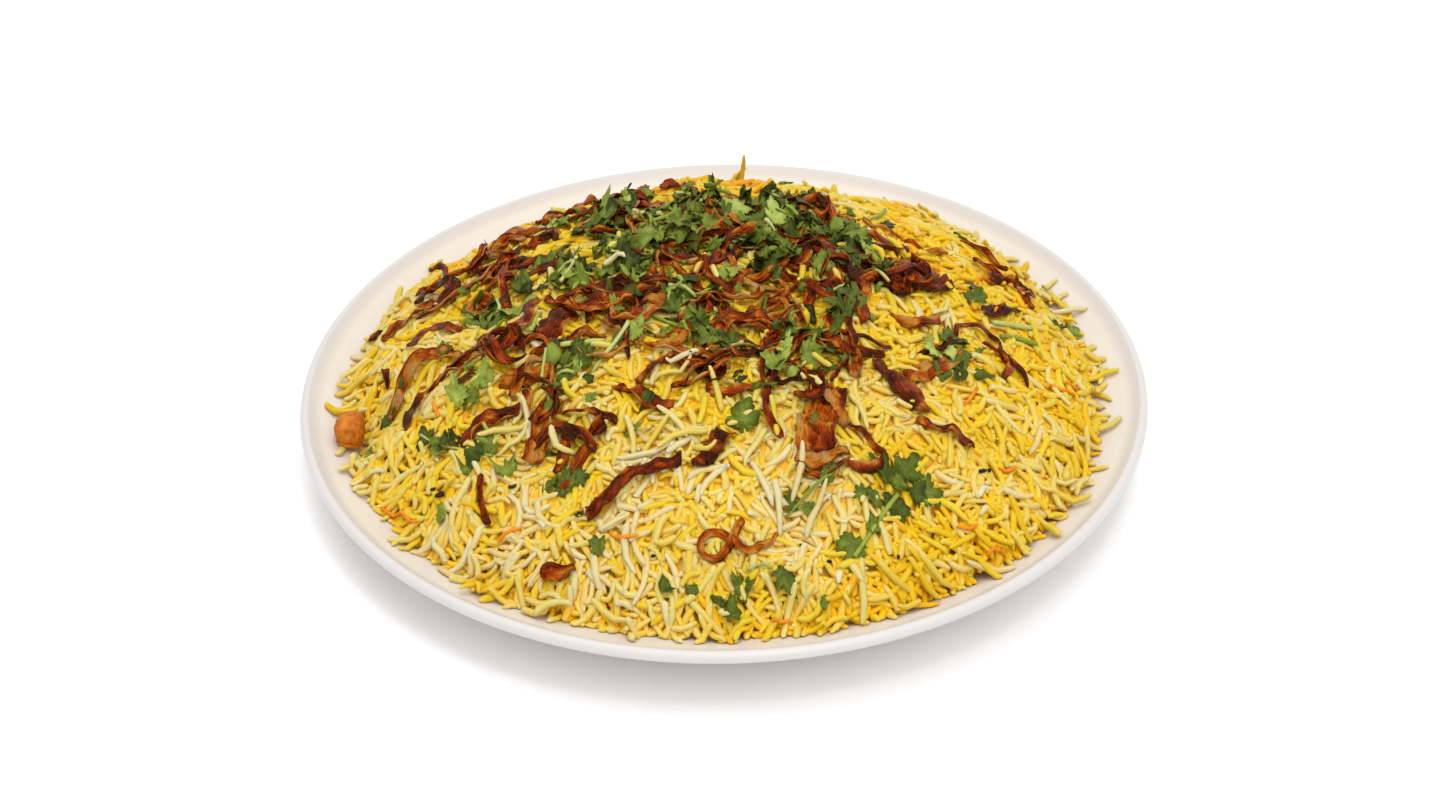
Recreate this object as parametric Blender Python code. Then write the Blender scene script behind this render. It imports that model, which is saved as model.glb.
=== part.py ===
"""Biryani on its plate: a round coupe plate, a heap of rice, strips of fried onion and one fried cashew.

Run with blender --background --python part.py. The origin is on the table under the middle of the plate and
+Z is up. Lengths below are in millimetres, and add_node turns them into the scene's metres.
"""

import math

import bmesh
import bpy
import numpy as np
from mathutils import Matrix, Vector, noise
from mathutils.bvhtree import BVHTree

MM = 0.001
GAP = 0.35  # clearance kept between pieces that rest on each other

# Plate: a flat base, a wall that curves up and out, and a rounded lip
PLATE_R = 130.0
PLATE_STEPS = 72
LIP_R = 1.8
LIP_Z = 22.2
BASE_R = 78.0
BASE_FLOOR_Z = 4.0
WALL_END_R = 126.0
WALL_RISE = 18.0
WALL_POWER = 1.5
WALL_THICKNESS = 3.0

# Rice heap: an uneven dome that fills the plate to a few millimetres below its lip
HEAP_R = 117.0
HEAP_STEPS = 64
HEAP_RINGS = 18
HEAP_CROWN = (1.0, 3.0)
HEAP_RISE = 38.0
HEAP_SHOULDER = 2.6
HEAP_ROUNDNESS = 0.9
HEAP_FOOT_Z = 18.2
HEAP_WAVES = ((1.6, 3, -1.5), (1.0, 7, 2.4), (0.9, 15, 0.3))  # height, count and phase of the edge's waves
HEAP_RING_SPACING = 0.8  # below 1, the rings are closer together near the edge
HEAP_UNDER_SHARES = (0.94, 0.88, 0.82, 0.76, 0.66)
LUMPS = 90
LUMP_HEIGHT = 1.8
LUMP_REACH = (6.0, 12.0)

# Fried cashew, in a dent of the heap's edge
CASHEW_SIZE = (8.5, 12.0, 9.0)
CASHEW_PLACE = (-112.5, -26.0)
CASHEW_TURN = 15.0
CASHEW_BEND = 0.025
CASHEW_ROUGHNESS = 0.12
CASHEW_DENT = 9.5
CASHEW_DENT_ANGLE = 0.085

# The small loop of onion at the front, seen from above
LOOP_ROUTE = (
    (3.5, -90.5),
    (2.5, -95),
    (0, -97.7),
    (-3, -99.9),
    (-5.7, -100.4),
    (-7.2, -98.3),
    (-6.4, -96.2),
    (-4, -95.2),
    (-2.2, -95),
)

# Fried onion: width, thickness, arch over the rice, and the route seen from above, lowest strips first
ONION_SECTION_STEP = 4.5
ONION_TAPER = 0.45
ONIONS = (
    # back left and the back of the crown
    (6.2, 1.6, 1.0, ((-79, 34), (-75, 43), (-69, 50), (-60, 49))),
    (4.9, 1.6, 1.0, ((-60, 56), (-52, 60), (-43, 63))),
    (4.3, 1.5, 0.5, ((-36, 55), (-29, 59), (-20, 59))),
    (4.3, 1.5, 0.5, ((-17, 50), (-10, 54), (-3, 53))),
    (4.9, 1.6, 0.5, ((15, 45), (25, 47), (37, 45))),
    (3.0, 1.5, 2.0, ((-78, 16), (-84, 19), (-87, 28), (-89, 37), (-94, 39))),
    # left shoulder
    (3.7, 1.5, 0.5, ((-112, 17), (-108, 22))),
    (5.2, 1.8, 0.5, ((-107, 12), (-99, 16), (-90, 19))),
    (4.3, 1.5, 0.5, ((-97, 0), (-89, 3), (-79, -4))),
    (3.0, 1.4, 0.3, ((-104, -7), (-102, -13))),
    (4.9, 1.8, 1.5, ((-100, -22), (-97, -15), (-91, -11), (-84, -13), (-77, -17))),
    (5.6, 2.0, 1.0, ((-86, -23), (-78, -26), (-70, -25), (-63, -20))),
    (3.7, 1.5, 0.3, ((-78, -33), (-71, -32))),
    (8.0, 2.0, 1.0, ((-64, -34), (-57, -37), (-49, -35))),
    (4.3, 1.6, 0.5, ((-56, -42), (-56, -51))),
    # left of the crown
    (8.5, 2.2, 1.5, ((-53, -25), (-49, -18), (-44, -10))),
    (4.9, 1.8, 1.0, ((-56, -30), (-46, -28), (-37, -22))),
    (4.9, 1.8, 1.0, ((-40, -15), (-36, -6), (-29, -2), (-21, -3))),
    (6.2, 2.0, 1.0, ((-35, -16), (-30, -24), (-23, -32))),
    (5.2, 1.8, 1.0, ((-23, 4), (-16, -5), (-9, -12), (-3, -19))),
    (5.6, 1.8, 0.5, ((-31, -44), (-24, -50), (-16, -57))),
    (3.7, 1.5, 0.5, ((-25, -44), (-18, -40), (-10, -36))),
    # front left
    (5.6, 1.8, 1.0, ((-74, -57), (-71, -52), (-66, -49), (-58, -49))),
    (7.5, 2.0, 1.0, ((-46, -47), (-51, -52), (-52, -59), (-54, -66))),
    (4.6, 1.6, 0.5, ((-44, -60), (-46, -71))),
    (5.2, 1.6, 0.5, ((-33, -60), (-41, -61))),
    (4.9, 1.8, 1.0, ((-36, -64), (-41, -70), (-46, -76))),
    (2.2, 1.4, 1.5, ((-46, -51), (-39, -54), (-30, -59))),
    (5.2, 2.0, 1.5, ((-38, -87), (-33, -83), (-28, -79), (-20, -76), (-12, -74))),
    (2.6, 1.4, 0.5, ((-68, -66), (-69, -71), (-66, -79))),
    (4.3, 1.4, 0.3, ((-51, -97), (-41, -98))),
    # the middle of the heap
    (4.0, 1.5, 0.5, ((0, -14), (0, -22), (-1, -30))),
    (3.2, 1.5, 1.0, ((12, -24), (12, -16), (16, -11), (21, -12))),
    (4.6, 1.6, 1.0, ((20, -24), (24, -17), (28, -8))),
    (4.6, 1.6, 1.0, ((27, -33), (32, -24), (37, -14))),
    (5.2, 1.8, 1.0, ((35, -28), (37, -36), (38, -45))),
    (4.6, 1.6, 0.5, ((-5, -50), (3, -52), (11, -50))),
    (6.5, 1.8, 0.5, ((1, -63), (-2, -71), (-8, -77))),
    (12.0, 2.4, 1.5, ((31, -49), (28, -57), (26, -65), (25, -73))),
    (2.8, 1.5, 1.0, ((34, -63), (40, -67), (44, -72), (40, -77), (32, -78))),
    # right of the crown
    (6.5, 2.0, 1.0, ((36, 7), (45, 3), (55, -2))),
    (8.0, 2.2, 1.0, ((57, 6), (64, 4), (70, 10))),
    (4.0, 1.6, 0.5, ((79, -4), (87, 3), (93, 10))),
    (4.0, 1.6, 1.0, ((81, 37), (88, 34), (93, 25), (97, 13))),
    (6.5, 2.0, 1.0, ((52, -42), (57, -38), (64, -34), (71, -28))),
    (7.5, 2.2, 1.5, ((44, -38), (50, -46), (57, -55))),
    (4.3, 1.6, 0.5, ((54, -58), (58, -61), (64, -60), (70, -61))),
    (2.6, 1.4, 1.0, ((77, -19), (82, -20), (85, -25), (82, -31))),
    # behind the crown
    (5.0, 1.6, 1.0, ((-60, 56), (-56, 65), (-49, 72), (-41, 76))),
    (4.0, 1.6, 1.0, ((-30, 85), (-27, 76), (-21, 69))),
    (4.5, 1.6, 1.0, ((-19, 79), (-13, 71), (-8, 61), (-5, 52))),
    (4.5, 1.6, 1.0, ((14, 56), (24, 52), (34, 46), (43, 38))),
    (4.5, 1.6, 0.5, ((43, 35), (49, 28), (56, 20))),
    (2.6, 1.4, 1.0, ((77, 49), (85, 46), (93, 41))),
    # the loop at the front, and the strip that leads away from it
    (2.2, 1.6, 0.3, LOOP_ROUTE),
    (2.4, 1.6, 0.5, ((4.5, -97.5), (8, -97.2), (11.5, -95.5), (13.5, -93))),
)

# Colours: base colour, roughness
COLOURS = {
    "plate": ((0.90, 0.88, 0.85), 0.25),
    "rice": ((0.88, 0.72, 0.26), 0.55),
    "onion": ((0.33, 0.10, 0.03), 0.40),
    "cashew": ((0.55, 0.26, 0.08), 0.45),
}


def clear_scene():
    for obj in list(bpy.data.objects):
        bpy.data.objects.remove(obj, do_unlink=True)


def material(name):
    """The Principled material of one kind of piece, made once."""
    found = bpy.data.materials.get(name)
    if found:
        return found
    colour, roughness = COLOURS[name]
    made = bpy.data.materials.new(name)
    made.use_nodes = True
    shader = made.node_tree.nodes["Principled BSDF"]
    shader.inputs["Base Color"].default_value = (*colour, 1.0)
    shader.inputs["Roughness"].default_value = roughness
    shader.inputs["Metallic"].default_value = 0.0
    return made


def add_node(name, shape, kind, smooth_below=40.0):
    """Turns a bmesh in millimetres into a named object in metres, and frees it."""
    bmesh.ops.recalc_face_normals(shape, faces=shape.faces)
    bmesh.ops.triangulate(shape, faces=shape.faces)
    bmesh.ops.scale(shape, vec=(MM, MM, MM), verts=shape.verts)
    mesh = bpy.data.meshes.new(name)
    shape.to_mesh(mesh)
    shape.free()
    mesh.materials.append(material(kind))
    mesh.shade_smooth()
    mesh.set_sharp_from_angle(angle=math.radians(smooth_below))
    obj = bpy.data.objects.new(name, mesh)
    bpy.context.collection.objects.link(obj)
    return obj


def join_loops(shape, loops):
    """Faces between each ring of vertices and the next."""
    for low, high in zip(loops, loops[1:]):
        count = len(low)
        for i in range(count):
            j = (i + 1) % count
            shape.faces.new((low[i], low[j], high[j], high[i]))


def fan(shape, loop, tip):
    """Faces from a ring of vertices to one point."""
    for i, corner in enumerate(loop):
        shape.faces.new((corner, loop[(i + 1) % len(loop)], tip))


def plate_floor(r):
    """Height of the plate's upper surface at a radius."""
    out = max(0.0, (r - BASE_R) / (WALL_END_R - BASE_R))
    return BASE_FLOOR_Z + WALL_RISE * out**WALL_POWER


def plate_outline():
    """The plate's section, from the middle of its floor over the lip to the middle of its base."""
    wall_radii = np.linspace(BASE_R, WALL_END_R, 9)
    floor = [(0.0, BASE_FLOOR_Z), (BASE_R * 0.5, BASE_FLOOR_Z)]
    floor += [(r, plate_floor(r)) for r in wall_radii]
    lip_angles = np.radians((125, 75, 25, -25, -70))
    lip_middle = PLATE_R - LIP_R
    lip = [(lip_middle + LIP_R * math.cos(a), LIP_Z + LIP_R * math.sin(a)) for a in lip_angles]
    lip[2] = (PLATE_R, LIP_Z + LIP_R * 0.35)
    under = [(r, plate_floor(r) - WALL_THICKNESS) for r in wall_radii[-2:0:-1]]
    return floor + lip + under + [(BASE_R, 0.0), (0.0, 0.0)]


def make_plate():
    shape = bmesh.new()
    verts = [shape.verts.new((r, 0.0, z)) for r, z in plate_outline()]
    edges = [shape.edges.new(pair) for pair in zip(verts, verts[1:])]
    bmesh.ops.spin(
        shape,
        geom=verts + edges,
        cent=(0, 0, 0),
        axis=(0, 0, 1),
        angle=math.tau,
        steps=PLATE_STEPS,
        use_merge=True,
    )
    bmesh.ops.remove_doubles(shape, verts=shape.verts, dist=0.01)
    return add_node("plate", shape, "plate")


def heap_edge(angle):
    """Distance of the heap's edge from the plate's middle, in one direction."""
    radius = HEAP_R + sum(h * math.sin(n * angle + phase) for h, n, phase in HEAP_WAVES)
    toward = math.atan2(CASHEW_PLACE[1], CASHEW_PLACE[0])
    turn = math.remainder(angle - toward, math.tau)
    return radius - CASHEW_DENT * math.exp(-((turn / CASHEW_DENT_ANGLE) ** 2))


def make_lumps():
    """Places, reaches and heights of the heap's lumps."""
    chance = np.random.default_rng(11)
    radius = HEAP_R * np.sqrt(chance.random(LUMPS)) * 0.95
    angle = chance.random(LUMPS) * math.tau
    place = np.stack([radius * np.cos(angle), radius * np.sin(angle)], axis=1)
    return place, chance.uniform(*LUMP_REACH, LUMPS), chance.normal(0.0, LUMP_HEIGHT, LUMPS)


def lump_height(lumps, x, y):
    place, reach, height = lumps
    away = ((place - (x, y)) ** 2).sum(axis=1)
    return float((height * np.exp(-away / (2 * (reach / 2) ** 2))).sum())


def heap_point(share, angle, lumps):
    """A point on top of the heap: share is 0 at the crown and 1 at the edge."""
    edge = heap_edge(angle)
    x = HEAP_CROWN[0] * (1 - share) + edge * math.cos(angle) * share
    y = HEAP_CROWN[1] * (1 - share) + edge * math.sin(angle) * share
    foot = HEAP_FOOT_Z + (plate_floor(edge) - plate_floor(HEAP_R)) * share**3
    dome = (1 - share**HEAP_SHOULDER) ** HEAP_ROUNDNESS
    fade = min(1.0, (1 - share) * 6)
    return x, y, foot + HEAP_RISE * dome + fade * lump_height(lumps, x, y)


def make_heap():
    lumps = make_lumps()
    shape = bmesh.new()
    angles = [math.tau * i / HEAP_STEPS for i in range(HEAP_STEPS)]
    shares = [(i / HEAP_RINGS) ** HEAP_RING_SPACING for i in range(1, HEAP_RINGS + 1)]
    top = [[shape.verts.new(heap_point(s, a, lumps)) for a in angles] for s in reversed(shares)]
    under = []
    for share in (*reversed(HEAP_UNDER_SHARES), 1.0):
        radii = [heap_edge(a) * share for a in angles]
        ring = [(r * math.cos(a), r * math.sin(a), plate_floor(r) + GAP) for r, a in zip(radii, angles)]
        under.append([shape.verts.new(point) for point in ring])
    join_loops(shape, under + top)
    fan(shape, top[-1], shape.verts.new(heap_point(0.0, 0.0, lumps)))
    fan(shape, under[0], shape.verts.new((0.0, 0.0, BASE_FLOOR_Z + GAP)))
    return add_node("rice_heap", shape, "rice", smooth_below=60.0)


def tree_of(obj):
    """A search tree of an object's triangles, in millimetres."""
    mesh = obj.data
    points = [vertex.co / MM for vertex in mesh.vertices]
    return BVHTree.FromPolygons(points, [tuple(face.vertices) for face in mesh.polygons])


def top_at(trees, x, y, around=0.8):
    """The highest surface at a point seen from above, within a small distance of it."""
    found = 0.0
    for dx, dy in ((0, 0), (around, 0), (-around, 0), (0, around), (0, -around)):
        for tree in trees:
            hit = tree.ray_cast(Vector((x + dx, y + dy, 200.0)), Vector((0, 0, -1)))[0]
            if hit:
                found = max(found, hit.z)
    return found


def smooth_route(points, step):
    """Places at even steps along a Catmull-Rom curve through the given points, and the curve's directions."""
    points = np.array(points, float)
    points = np.array([2 * points[0] - points[1], *points, 2 * points[-1] - points[-2]])
    fine = []
    for a, b, c, d in zip(points, points[1:], points[2:], points[3:]):
        for t in np.linspace(0, 1, 12, endpoint=False):
            bend = (a - 2.5 * b + 2 * c - d / 2) * t**2
            fine.append(b + (c - a) * t / 2 + bend + (1.5 * (b - c) + (d - a) / 2) * t**3)
    fine = np.array([*fine, points[-2]])
    along = np.concatenate([[0], np.cumsum(np.linalg.norm(np.diff(fine, axis=0), axis=1))])
    count = max(4, round(along[-1] / step) + 1)
    at = np.linspace(0, along[-1], count)
    places = np.stack([np.interp(at, along, fine[:, i]) for i in (0, 1)], axis=1)
    ways = np.gradient(places, axis=0)
    return places, ways / np.linalg.norm(ways, axis=1, keepdims=True)


def rest_strip(corners, arch, trees):
    """Heights that rest a two-cornered strip on what lies below it, with its middle arched."""
    sections = len(corners)
    share = np.linspace(0, 1, sections)
    heights = np.array([[top_at(trees, *corner) for corner in pair] for pair in corners])
    heights += GAP + (arch * np.sin(math.pi * share))[:, None]
    halves = (((0, 0), (0, 1), (1, 1)), ((0, 0), (1, 1), (1, 0)))
    spots = [(i / 4, j / 4) for i in range(5) for j in range(5 - i)]
    tests = []
    for i in range(sections - 1):
        for half in halves:
            for u, v in spots:
                weights = (u, v, 1 - u - v)
                x, y = sum(w * corners[i + a, b] for w, (a, b) in zip(weights, half))
                tests.append(([(i + a, b) for a, b in half], weights, top_at(trees, x, y) + GAP))
    for _ in range(40):
        for where, weights, floor in tests:
            short = floor - sum(w * heights[spot] for w, spot in zip(weights, where))
            if short > 0:
                total = sum(w * w for w in weights)
                for w, spot in zip(weights, where):
                    heights[spot] += short * w / total
    return heights


def make_onion(name, width, thickness, arch, route, trees):
    """One strip of fried onion: a bent band with a ridge along its top and narrower ends."""
    places, ways = smooth_route(route, ONION_SECTION_STEP)
    share = np.linspace(0, 1, len(places))
    half = width / 2 * (1 - ONION_TAPER * np.abs(2 * share - 1) ** 3)
    across = np.stack([-ways[:, 1], ways[:, 0]], axis=1) * half[:, None]
    corners = np.stack([places + across, places - across], axis=1)
    heights = rest_strip(corners, arch, trees)
    shape = bmesh.new()
    loops = []
    for (left, right), (low_left, low_right) in zip(corners, heights):
        middle = (left + right) / 2
        ring = [(*left, low_left), (*right, low_right)]
        ring += [(*(middle + (right - middle) * 0.8), low_right + thickness * 0.9)]
        ring += [(*middle, (low_left + low_right) / 2 + thickness * 1.15)]
        ring += [(*(middle + (left - middle) * 0.8), low_left + thickness * 0.9)]
        loops.append([shape.verts.new(point) for point in ring])
    join_loops(shape, loops)
    shape.faces.new(loops[0])
    shape.faces.new(loops[-1])
    return add_node(name, shape, "onion", smooth_below=50.0)


def make_cashew(trees):
    """A browned, slightly curved nut lying against the rice."""
    shape = bmesh.new()
    bmesh.ops.create_icosphere(shape, subdivisions=2, radius=0.5)
    turn = Matrix.Rotation(math.radians(CASHEW_TURN), 3, "Z")
    for vertex in shape.verts:
        rough = 1 + CASHEW_ROUGHNESS * noise.noise(vertex.co * 3)
        point = Vector([c * size for c, size in zip(vertex.co, CASHEW_SIZE)])
        point.x += CASHEW_BEND * point.y**2
        vertex.co = turn @ point * rough + Vector((*CASHEW_PLACE, 0))
    lift = max(top_at(trees, v.co.x, v.co.y) + GAP - v.co.z for v in shape.verts)
    bmesh.ops.translate(shape, vec=(0, 0, lift), verts=shape.verts)
    return add_node("cashew", shape, "cashew", smooth_below=60.0)


def main():
    clear_scene()
    trees = [tree_of(make_plate()), tree_of(make_heap())]
    trees.append(tree_of(make_cashew(trees)))
    for number, (width, thickness, arch, route) in enumerate(ONIONS, start=1):
        onion = make_onion(f"onion_{number:02d}", width, thickness, arch, route, trees)
        trees.append(tree_of(onion))


main()
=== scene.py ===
import math

import bmesh
import bpy
import numpy as np
from mathutils import Matrix, Vector, noise
from mathutils.bvhtree import BVHTree


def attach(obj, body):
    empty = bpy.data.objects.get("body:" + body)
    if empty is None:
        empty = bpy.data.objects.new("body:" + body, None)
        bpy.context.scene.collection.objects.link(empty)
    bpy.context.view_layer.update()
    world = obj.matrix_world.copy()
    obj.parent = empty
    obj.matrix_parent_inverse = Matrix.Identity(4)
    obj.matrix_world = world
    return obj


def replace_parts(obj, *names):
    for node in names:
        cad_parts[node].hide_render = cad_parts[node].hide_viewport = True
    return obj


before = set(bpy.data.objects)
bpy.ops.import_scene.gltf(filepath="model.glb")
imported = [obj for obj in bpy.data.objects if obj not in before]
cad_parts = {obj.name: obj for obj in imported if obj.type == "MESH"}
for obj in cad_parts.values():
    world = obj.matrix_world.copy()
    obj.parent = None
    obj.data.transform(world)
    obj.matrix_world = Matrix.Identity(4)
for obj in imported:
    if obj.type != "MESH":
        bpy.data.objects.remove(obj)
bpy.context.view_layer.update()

# Biryani on its plate. Shapes are worked out in millimetres and become metres in make_piece.
MM = 0.001

# The ground that everything rests on: heights on a square grid
CELL = 0.5
GROUND_HALF = 130.0
LOOK_STEP = 4  # cells between the spots where a CAD node's height is taken

# Plate, as in the CAD but with a finer section and more steps
PLATE_STEPS = 192
PLATE_R = 130.0
LIP_R = 1.8
LIP_Z = 22.2
BASE_R = 78.0
BASE_FLOOR_Z = 4.0
WALL_END_R = 126.0
WALL_RISE = 18.0
WALL_POWER = 1.5
WALL_THICKNESS = 3.0

# The heap: a core of packed rice, and the depth of the grains over it
HEAP_R = 117.0
POURED_R = HEAP_R * 0.985
COVERED_R = HEAP_R * 0.93
OVER_R = HEAP_R * 0.85
CORE_R = HEAP_R - 4.0
CORE_RINGS = 70
CORE_STEPS = 180
CRUST = 2.1
EDGE_CRUST = 6.0  # more of it at the heap's edge
EDGE_FROM, EDGE_TO = 0.72, 0.96  # where it sets in and is full, as shares of the heap's radius
HEAP_RELIEF = ((15.0, 0.8), (6.0, 0.6))  # reach and height of the unevenness of the heap
CORE_RELIEF = (4.0, 0.3)  # and of the core alone
BARE = 0.35  # the core lies open where less than this covers it

# Pours of rice: tries, spots looked at for each grain, level over the heap, sink, lift of the tips, press
RICE_SEED = 7
PACKED_POUR = (8300, 4, -0.2, (0.45, 0.85), 0.25, 0.65)
FILL_POUR = (900, 24, -0.2, (0.4, 0.7), 0.25, 0.5)
LOOSE_POUR = (1600, 1, 1.0, (0.3, 0.65), 0.6, 0.45)

# Further grains: those that cover the open core, those around the edge, and those over the toppings
COVER_ROUNDS = 20
COVER_GRAINS = 60  # at most, in each round
STRAY_GRAINS = 170
STRAY_SHARE = (0.955, 1.015)  # how far out they lie, as a share of the heap's radius
OVER_GRAINS = 24

# Grains: shortest and longest of each sort, and their form
BROKEN_GRAIN = (3.8, 8.0)
GRAIN_LENGTH = (6.5, 11.5)
LONG_GRAIN = (11.0, 14.5)
BROKEN_BELOW, LONG_ABOVE = 0.36, 0.93  # where a draw from 0 to 1 gives a broken or a long one
GRAIN_WIDTH = (1.8, 2.4)
GRAIN_BEND, GRAIN_CURL = 0.15, 0.07  # spread of the arc and of the S that grains bend into
GRAIN_LIMP = (0.35, 0.9)
GRAIN_SIDES = 6
GRAIN_END = 0.27  # width of a grain's blunt end, as a share of its middle
GRAIN_SLOPE = 1.1  # the steepest, before the tip is lifted
GRAIN_SAG = 3.5  # the deepest gap that it sags into
PERKY_SHARE, PERKY_LIFT = 0.06, 3.0  # share of grains whose tips are lifted so many times further
GAP_GOLD_DEPTH = 2.6  # below the rice's top, where a grain takes the deepest colour, the full painted golden light of the gaps
SEEN_ABOVE = -0.55  # a grain whose top lies further below the ground's is left out
FEATURE_SCALE = 0.88  # of the lengths of the placed grains
FEATURE_WIDTH = 1.9

# The small loop of onion at the front, seen from above
LOOP_ROUTE = (
    (4.2, -90.2),
    (3.2, -93.2),
    (1.6, -96.0),
    (-0.4, -98.6),
    (-2.8, -100.4),
    (-5.4, -100.4),
    (-7.2, -98.8),
    (-7.0, -96.6),
    (-5.0, -95.2),
    (-2.4, -94.9),
    (0.2, -95.5),
    (2.8, -96.8),
)
LOOP_TWIST = 0.25  # it stays flatter than the other strips

# The strip that leads away from the loop
TAIL_ROUTE = ((1.5, -96), (4.5, -97.5), (8, -97.2), (11.5, -95.5), (13.5, -93))

# The strip that stands up at the left shoulder, seen from above, and how high its tip is lifted
STANDING_ROUTE = ((-78, 16), (-84, 19), (-87, 28), (-89, 37), (-94, 39))
STANDING_RISE = 8.0

# Each strip of onion has a seed of its own, so that a change to one leaves the others alone
ONION_SEED = 100
SHREDS_SEED = 11

# Fried onion: width, arch over the rice, tone, and the route seen from above, lowest strips first
ONIONS = (
    # back left and the back of the crown
    (6.2, 1.0, 0.55, ((-79, 34), (-75, 43), (-69, 50), (-60, 49))),
    (4.9, 1.0, 0.60, ((-60, 56), (-52, 60), (-43, 63))),
    (4.3, 0.5, 0.60, ((-36, 55), (-29, 59), (-20, 59))),
    (4.3, 0.5, 0.55, ((-17, 50), (-10, 54), (-3, 53))),
    (4.9, 0.5, 0.60, ((15, 45), (25, 47), (37, 45))),
    (3.0, 2.0, 0.30, STANDING_ROUTE),
    # left shoulder
    (3.7, 0.5, 0.10, ((-112, 17), (-108, 22))),
    (5.2, 0.5, 0.45, ((-107, 12), (-99, 16), (-90, 19))),
    (4.3, 0.5, 0.45, ((-97, 0), (-89, 3), (-79, -4))),
    (3.0, 0.3, 0.20, ((-104, -7), (-102, -13))),
    (4.9, 1.5, 0.72, ((-100, -22), (-97, -15), (-91, -11), (-84, -13), (-77, -17))),
    (5.6, 1.0, 0.55, ((-86, -23), (-78, -26), (-70, -25), (-63, -20))),
    (3.7, 0.3, 0.10, ((-78, -33), (-71, -32))),
    (6.5, 1.0, 0.62, ((-64, -34), (-57, -37), (-49, -35))),
    (4.3, 0.5, 0.60, ((-56, -42), (-56, -51))),
    # left of the crown
    (8.5, 1.5, 0.30, ((-53, -25), (-49, -18), (-44, -10))),
    (4.9, 1.0, 0.55, ((-56, -30), (-46, -28), (-37, -22))),
    (4.9, 1.0, 0.15, ((-40, -15), (-36, -6), (-29, -2), (-21, -3))),
    (6.2, 1.0, 0.90, ((-35, -16), (-30, -24), (-23, -32))),
    (5.2, 1.0, 0.50, ((-23, 4), (-16, -5), (-9, -12), (-3, -19))),
    (5.6, 0.5, 0.45, ((-31, -44), (-24, -50), (-16, -57))),
    (3.7, 0.5, 0.50, ((-25, -44), (-18, -40), (-10, -36))),
    # front left
    (5.6, 1.0, 0.30, ((-74, -57), (-71, -52), (-66, -49), (-58, -49))),
    (7.5, 1.0, 0.66, ((-46, -47), (-51, -52), (-52, -59), (-54, -66))),
    (4.6, 0.5, 0.35, ((-44, -60), (-46, -71))),
    (5.2, 0.5, 0.05, ((-33, -60), (-41, -61))),
    (4.9, 1.0, 0.55, ((-36, -64), (-41, -70), (-46, -76))),
    (2.2, 1.5, 0.20, ((-46, -51), (-39, -54), (-30, -59))),
    (4.6, 1.5, 0.28, ((-38, -87), (-33, -83), (-28, -79), (-20, -76), (-12, -74))),
    (2.6, 0.5, 0.40, ((-68, -66), (-69, -71), (-66, -79))),
    (4.3, 0.3, 0.60, ((-51, -97), (-41, -98))),
    # the middle of the heap
    (4.0, 0.5, 0.35, ((0, -14), (0, -22), (-1, -30))),
    (3.2, 1.0, 0.40, ((12, -24), (12, -16), (16, -11), (21, -12))),
    (4.6, 1.0, 0.40, ((20, -24), (24, -17), (28, -8))),
    (4.6, 1.0, 0.40, ((27, -33), (32, -24), (37, -14))),
    (5.2, 1.0, 0.78, ((35, -28), (37, -36), (38, -45))),
    (4.6, 0.5, 0.65, ((-5, -50), (3, -52), (11, -50))),
    (6.5, 0.5, 0.25, ((1, -63), (-2, -71), (-8, -77))),
    (12.0, 1.5, 0.52, ((31, -49), (28, -57), (26, -65), (25, -73))),
    (2.8, 1.0, 0.40, ((34, -63), (40, -67), (44, -72), (40, -77), (32, -78))),
    # right of the crown
    (6.5, 1.0, 0.35, ((36, 7), (45, 3), (55, -2))),
    (8.0, 1.0, 0.35, ((57, 6), (64, 4), (70, 10))),
    (4.0, 0.5, 0.15, ((79, -4), (87, 3), (93, 10))),
    (4.0, 1.0, 0.35, ((81, 37), (88, 34), (93, 25), (97, 13))),
    (6.5, 1.0, 0.60, ((52, -42), (57, -38), (64, -34), (71, -28))),
    (7.5, 1.5, 0.34, ((44, -38), (50, -46), (57, -55))),
    (4.3, 0.5, 0.45, ((54, -58), (58, -61), (64, -60), (70, -61))),
    (2.6, 1.0, 0.40, ((77, -19), (82, -20), (85, -25), (82, -31))),
    # behind the crown
    (5.0, 1.0, 0.40, ((-60, 56), (-56, 65), (-49, 72), (-41, 76))),
    (4.0, 1.0, 0.50, ((-30, 85), (-27, 76), (-21, 69))),
    (4.5, 1.0, 0.45, ((-19, 79), (-13, 71), (-8, 61), (-5, 52))),
    (4.5, 1.0, 0.45, ((14, 56), (24, 52), (34, 46), (43, 38))),
    (4.5, 0.5, 0.35, ((43, 35), (49, 28), (56, 20))),
    (2.6, 1.0, 0.30, ((77, 49), (85, 46), (93, 41))),
    # the loop at the front, and the strip that leads away from it
    (2.3, 0.3, 0.56, LOOP_ROUTE),
    (2.5, 0.5, 0.56, TAIL_ROUTE),
)

# How closely a gathering of shreds or herbs keeps to its middle, as a share of its reach
SPREAD = 0.6

# Further small shreds of onion: middle, reach and number of each gathering
SHREDS_END_R = 102.0  # no shred reaches further out
SHREDS_SHARE = 0.78  # of the numbers below
SHREDS = (
    (-68, 22, 11, 6),
    (-56, 42, 11, 9),
    (-66, 5, 10, 4),
    (-50, -16, 14, 9),
    (-30, -6, 15, 14),
    (-8, -8, 15, 14),
    (14, -14, 14, 14),
    (34, 10, 13, 12),
    (54, 4, 11, 10),
    (70, -20, 8, 5),
    (-76, -12, 10, 4),
    (-24, 50, 13, 12),
    (6, 46, 13, 8),
    (30, 42, 12, 10),
    (-30, 26, 14, 12),
    (0, 22, 16, 14),
    (26, 26, 14, 12),
    (88, 22, 8, 3),
    (-92, 12, 5, 2),
    (-4, -42, 10, 4),
    (26, -42, 8, 4),
    (-54, -58, 8, 4),
    (-20, -30, 10, 5),
    (2, -36, 10, 6),
    (20, -38, 9, 5),
    (32, -12, 12, 7),
    (-64, -36, 9, 4),
)

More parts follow.
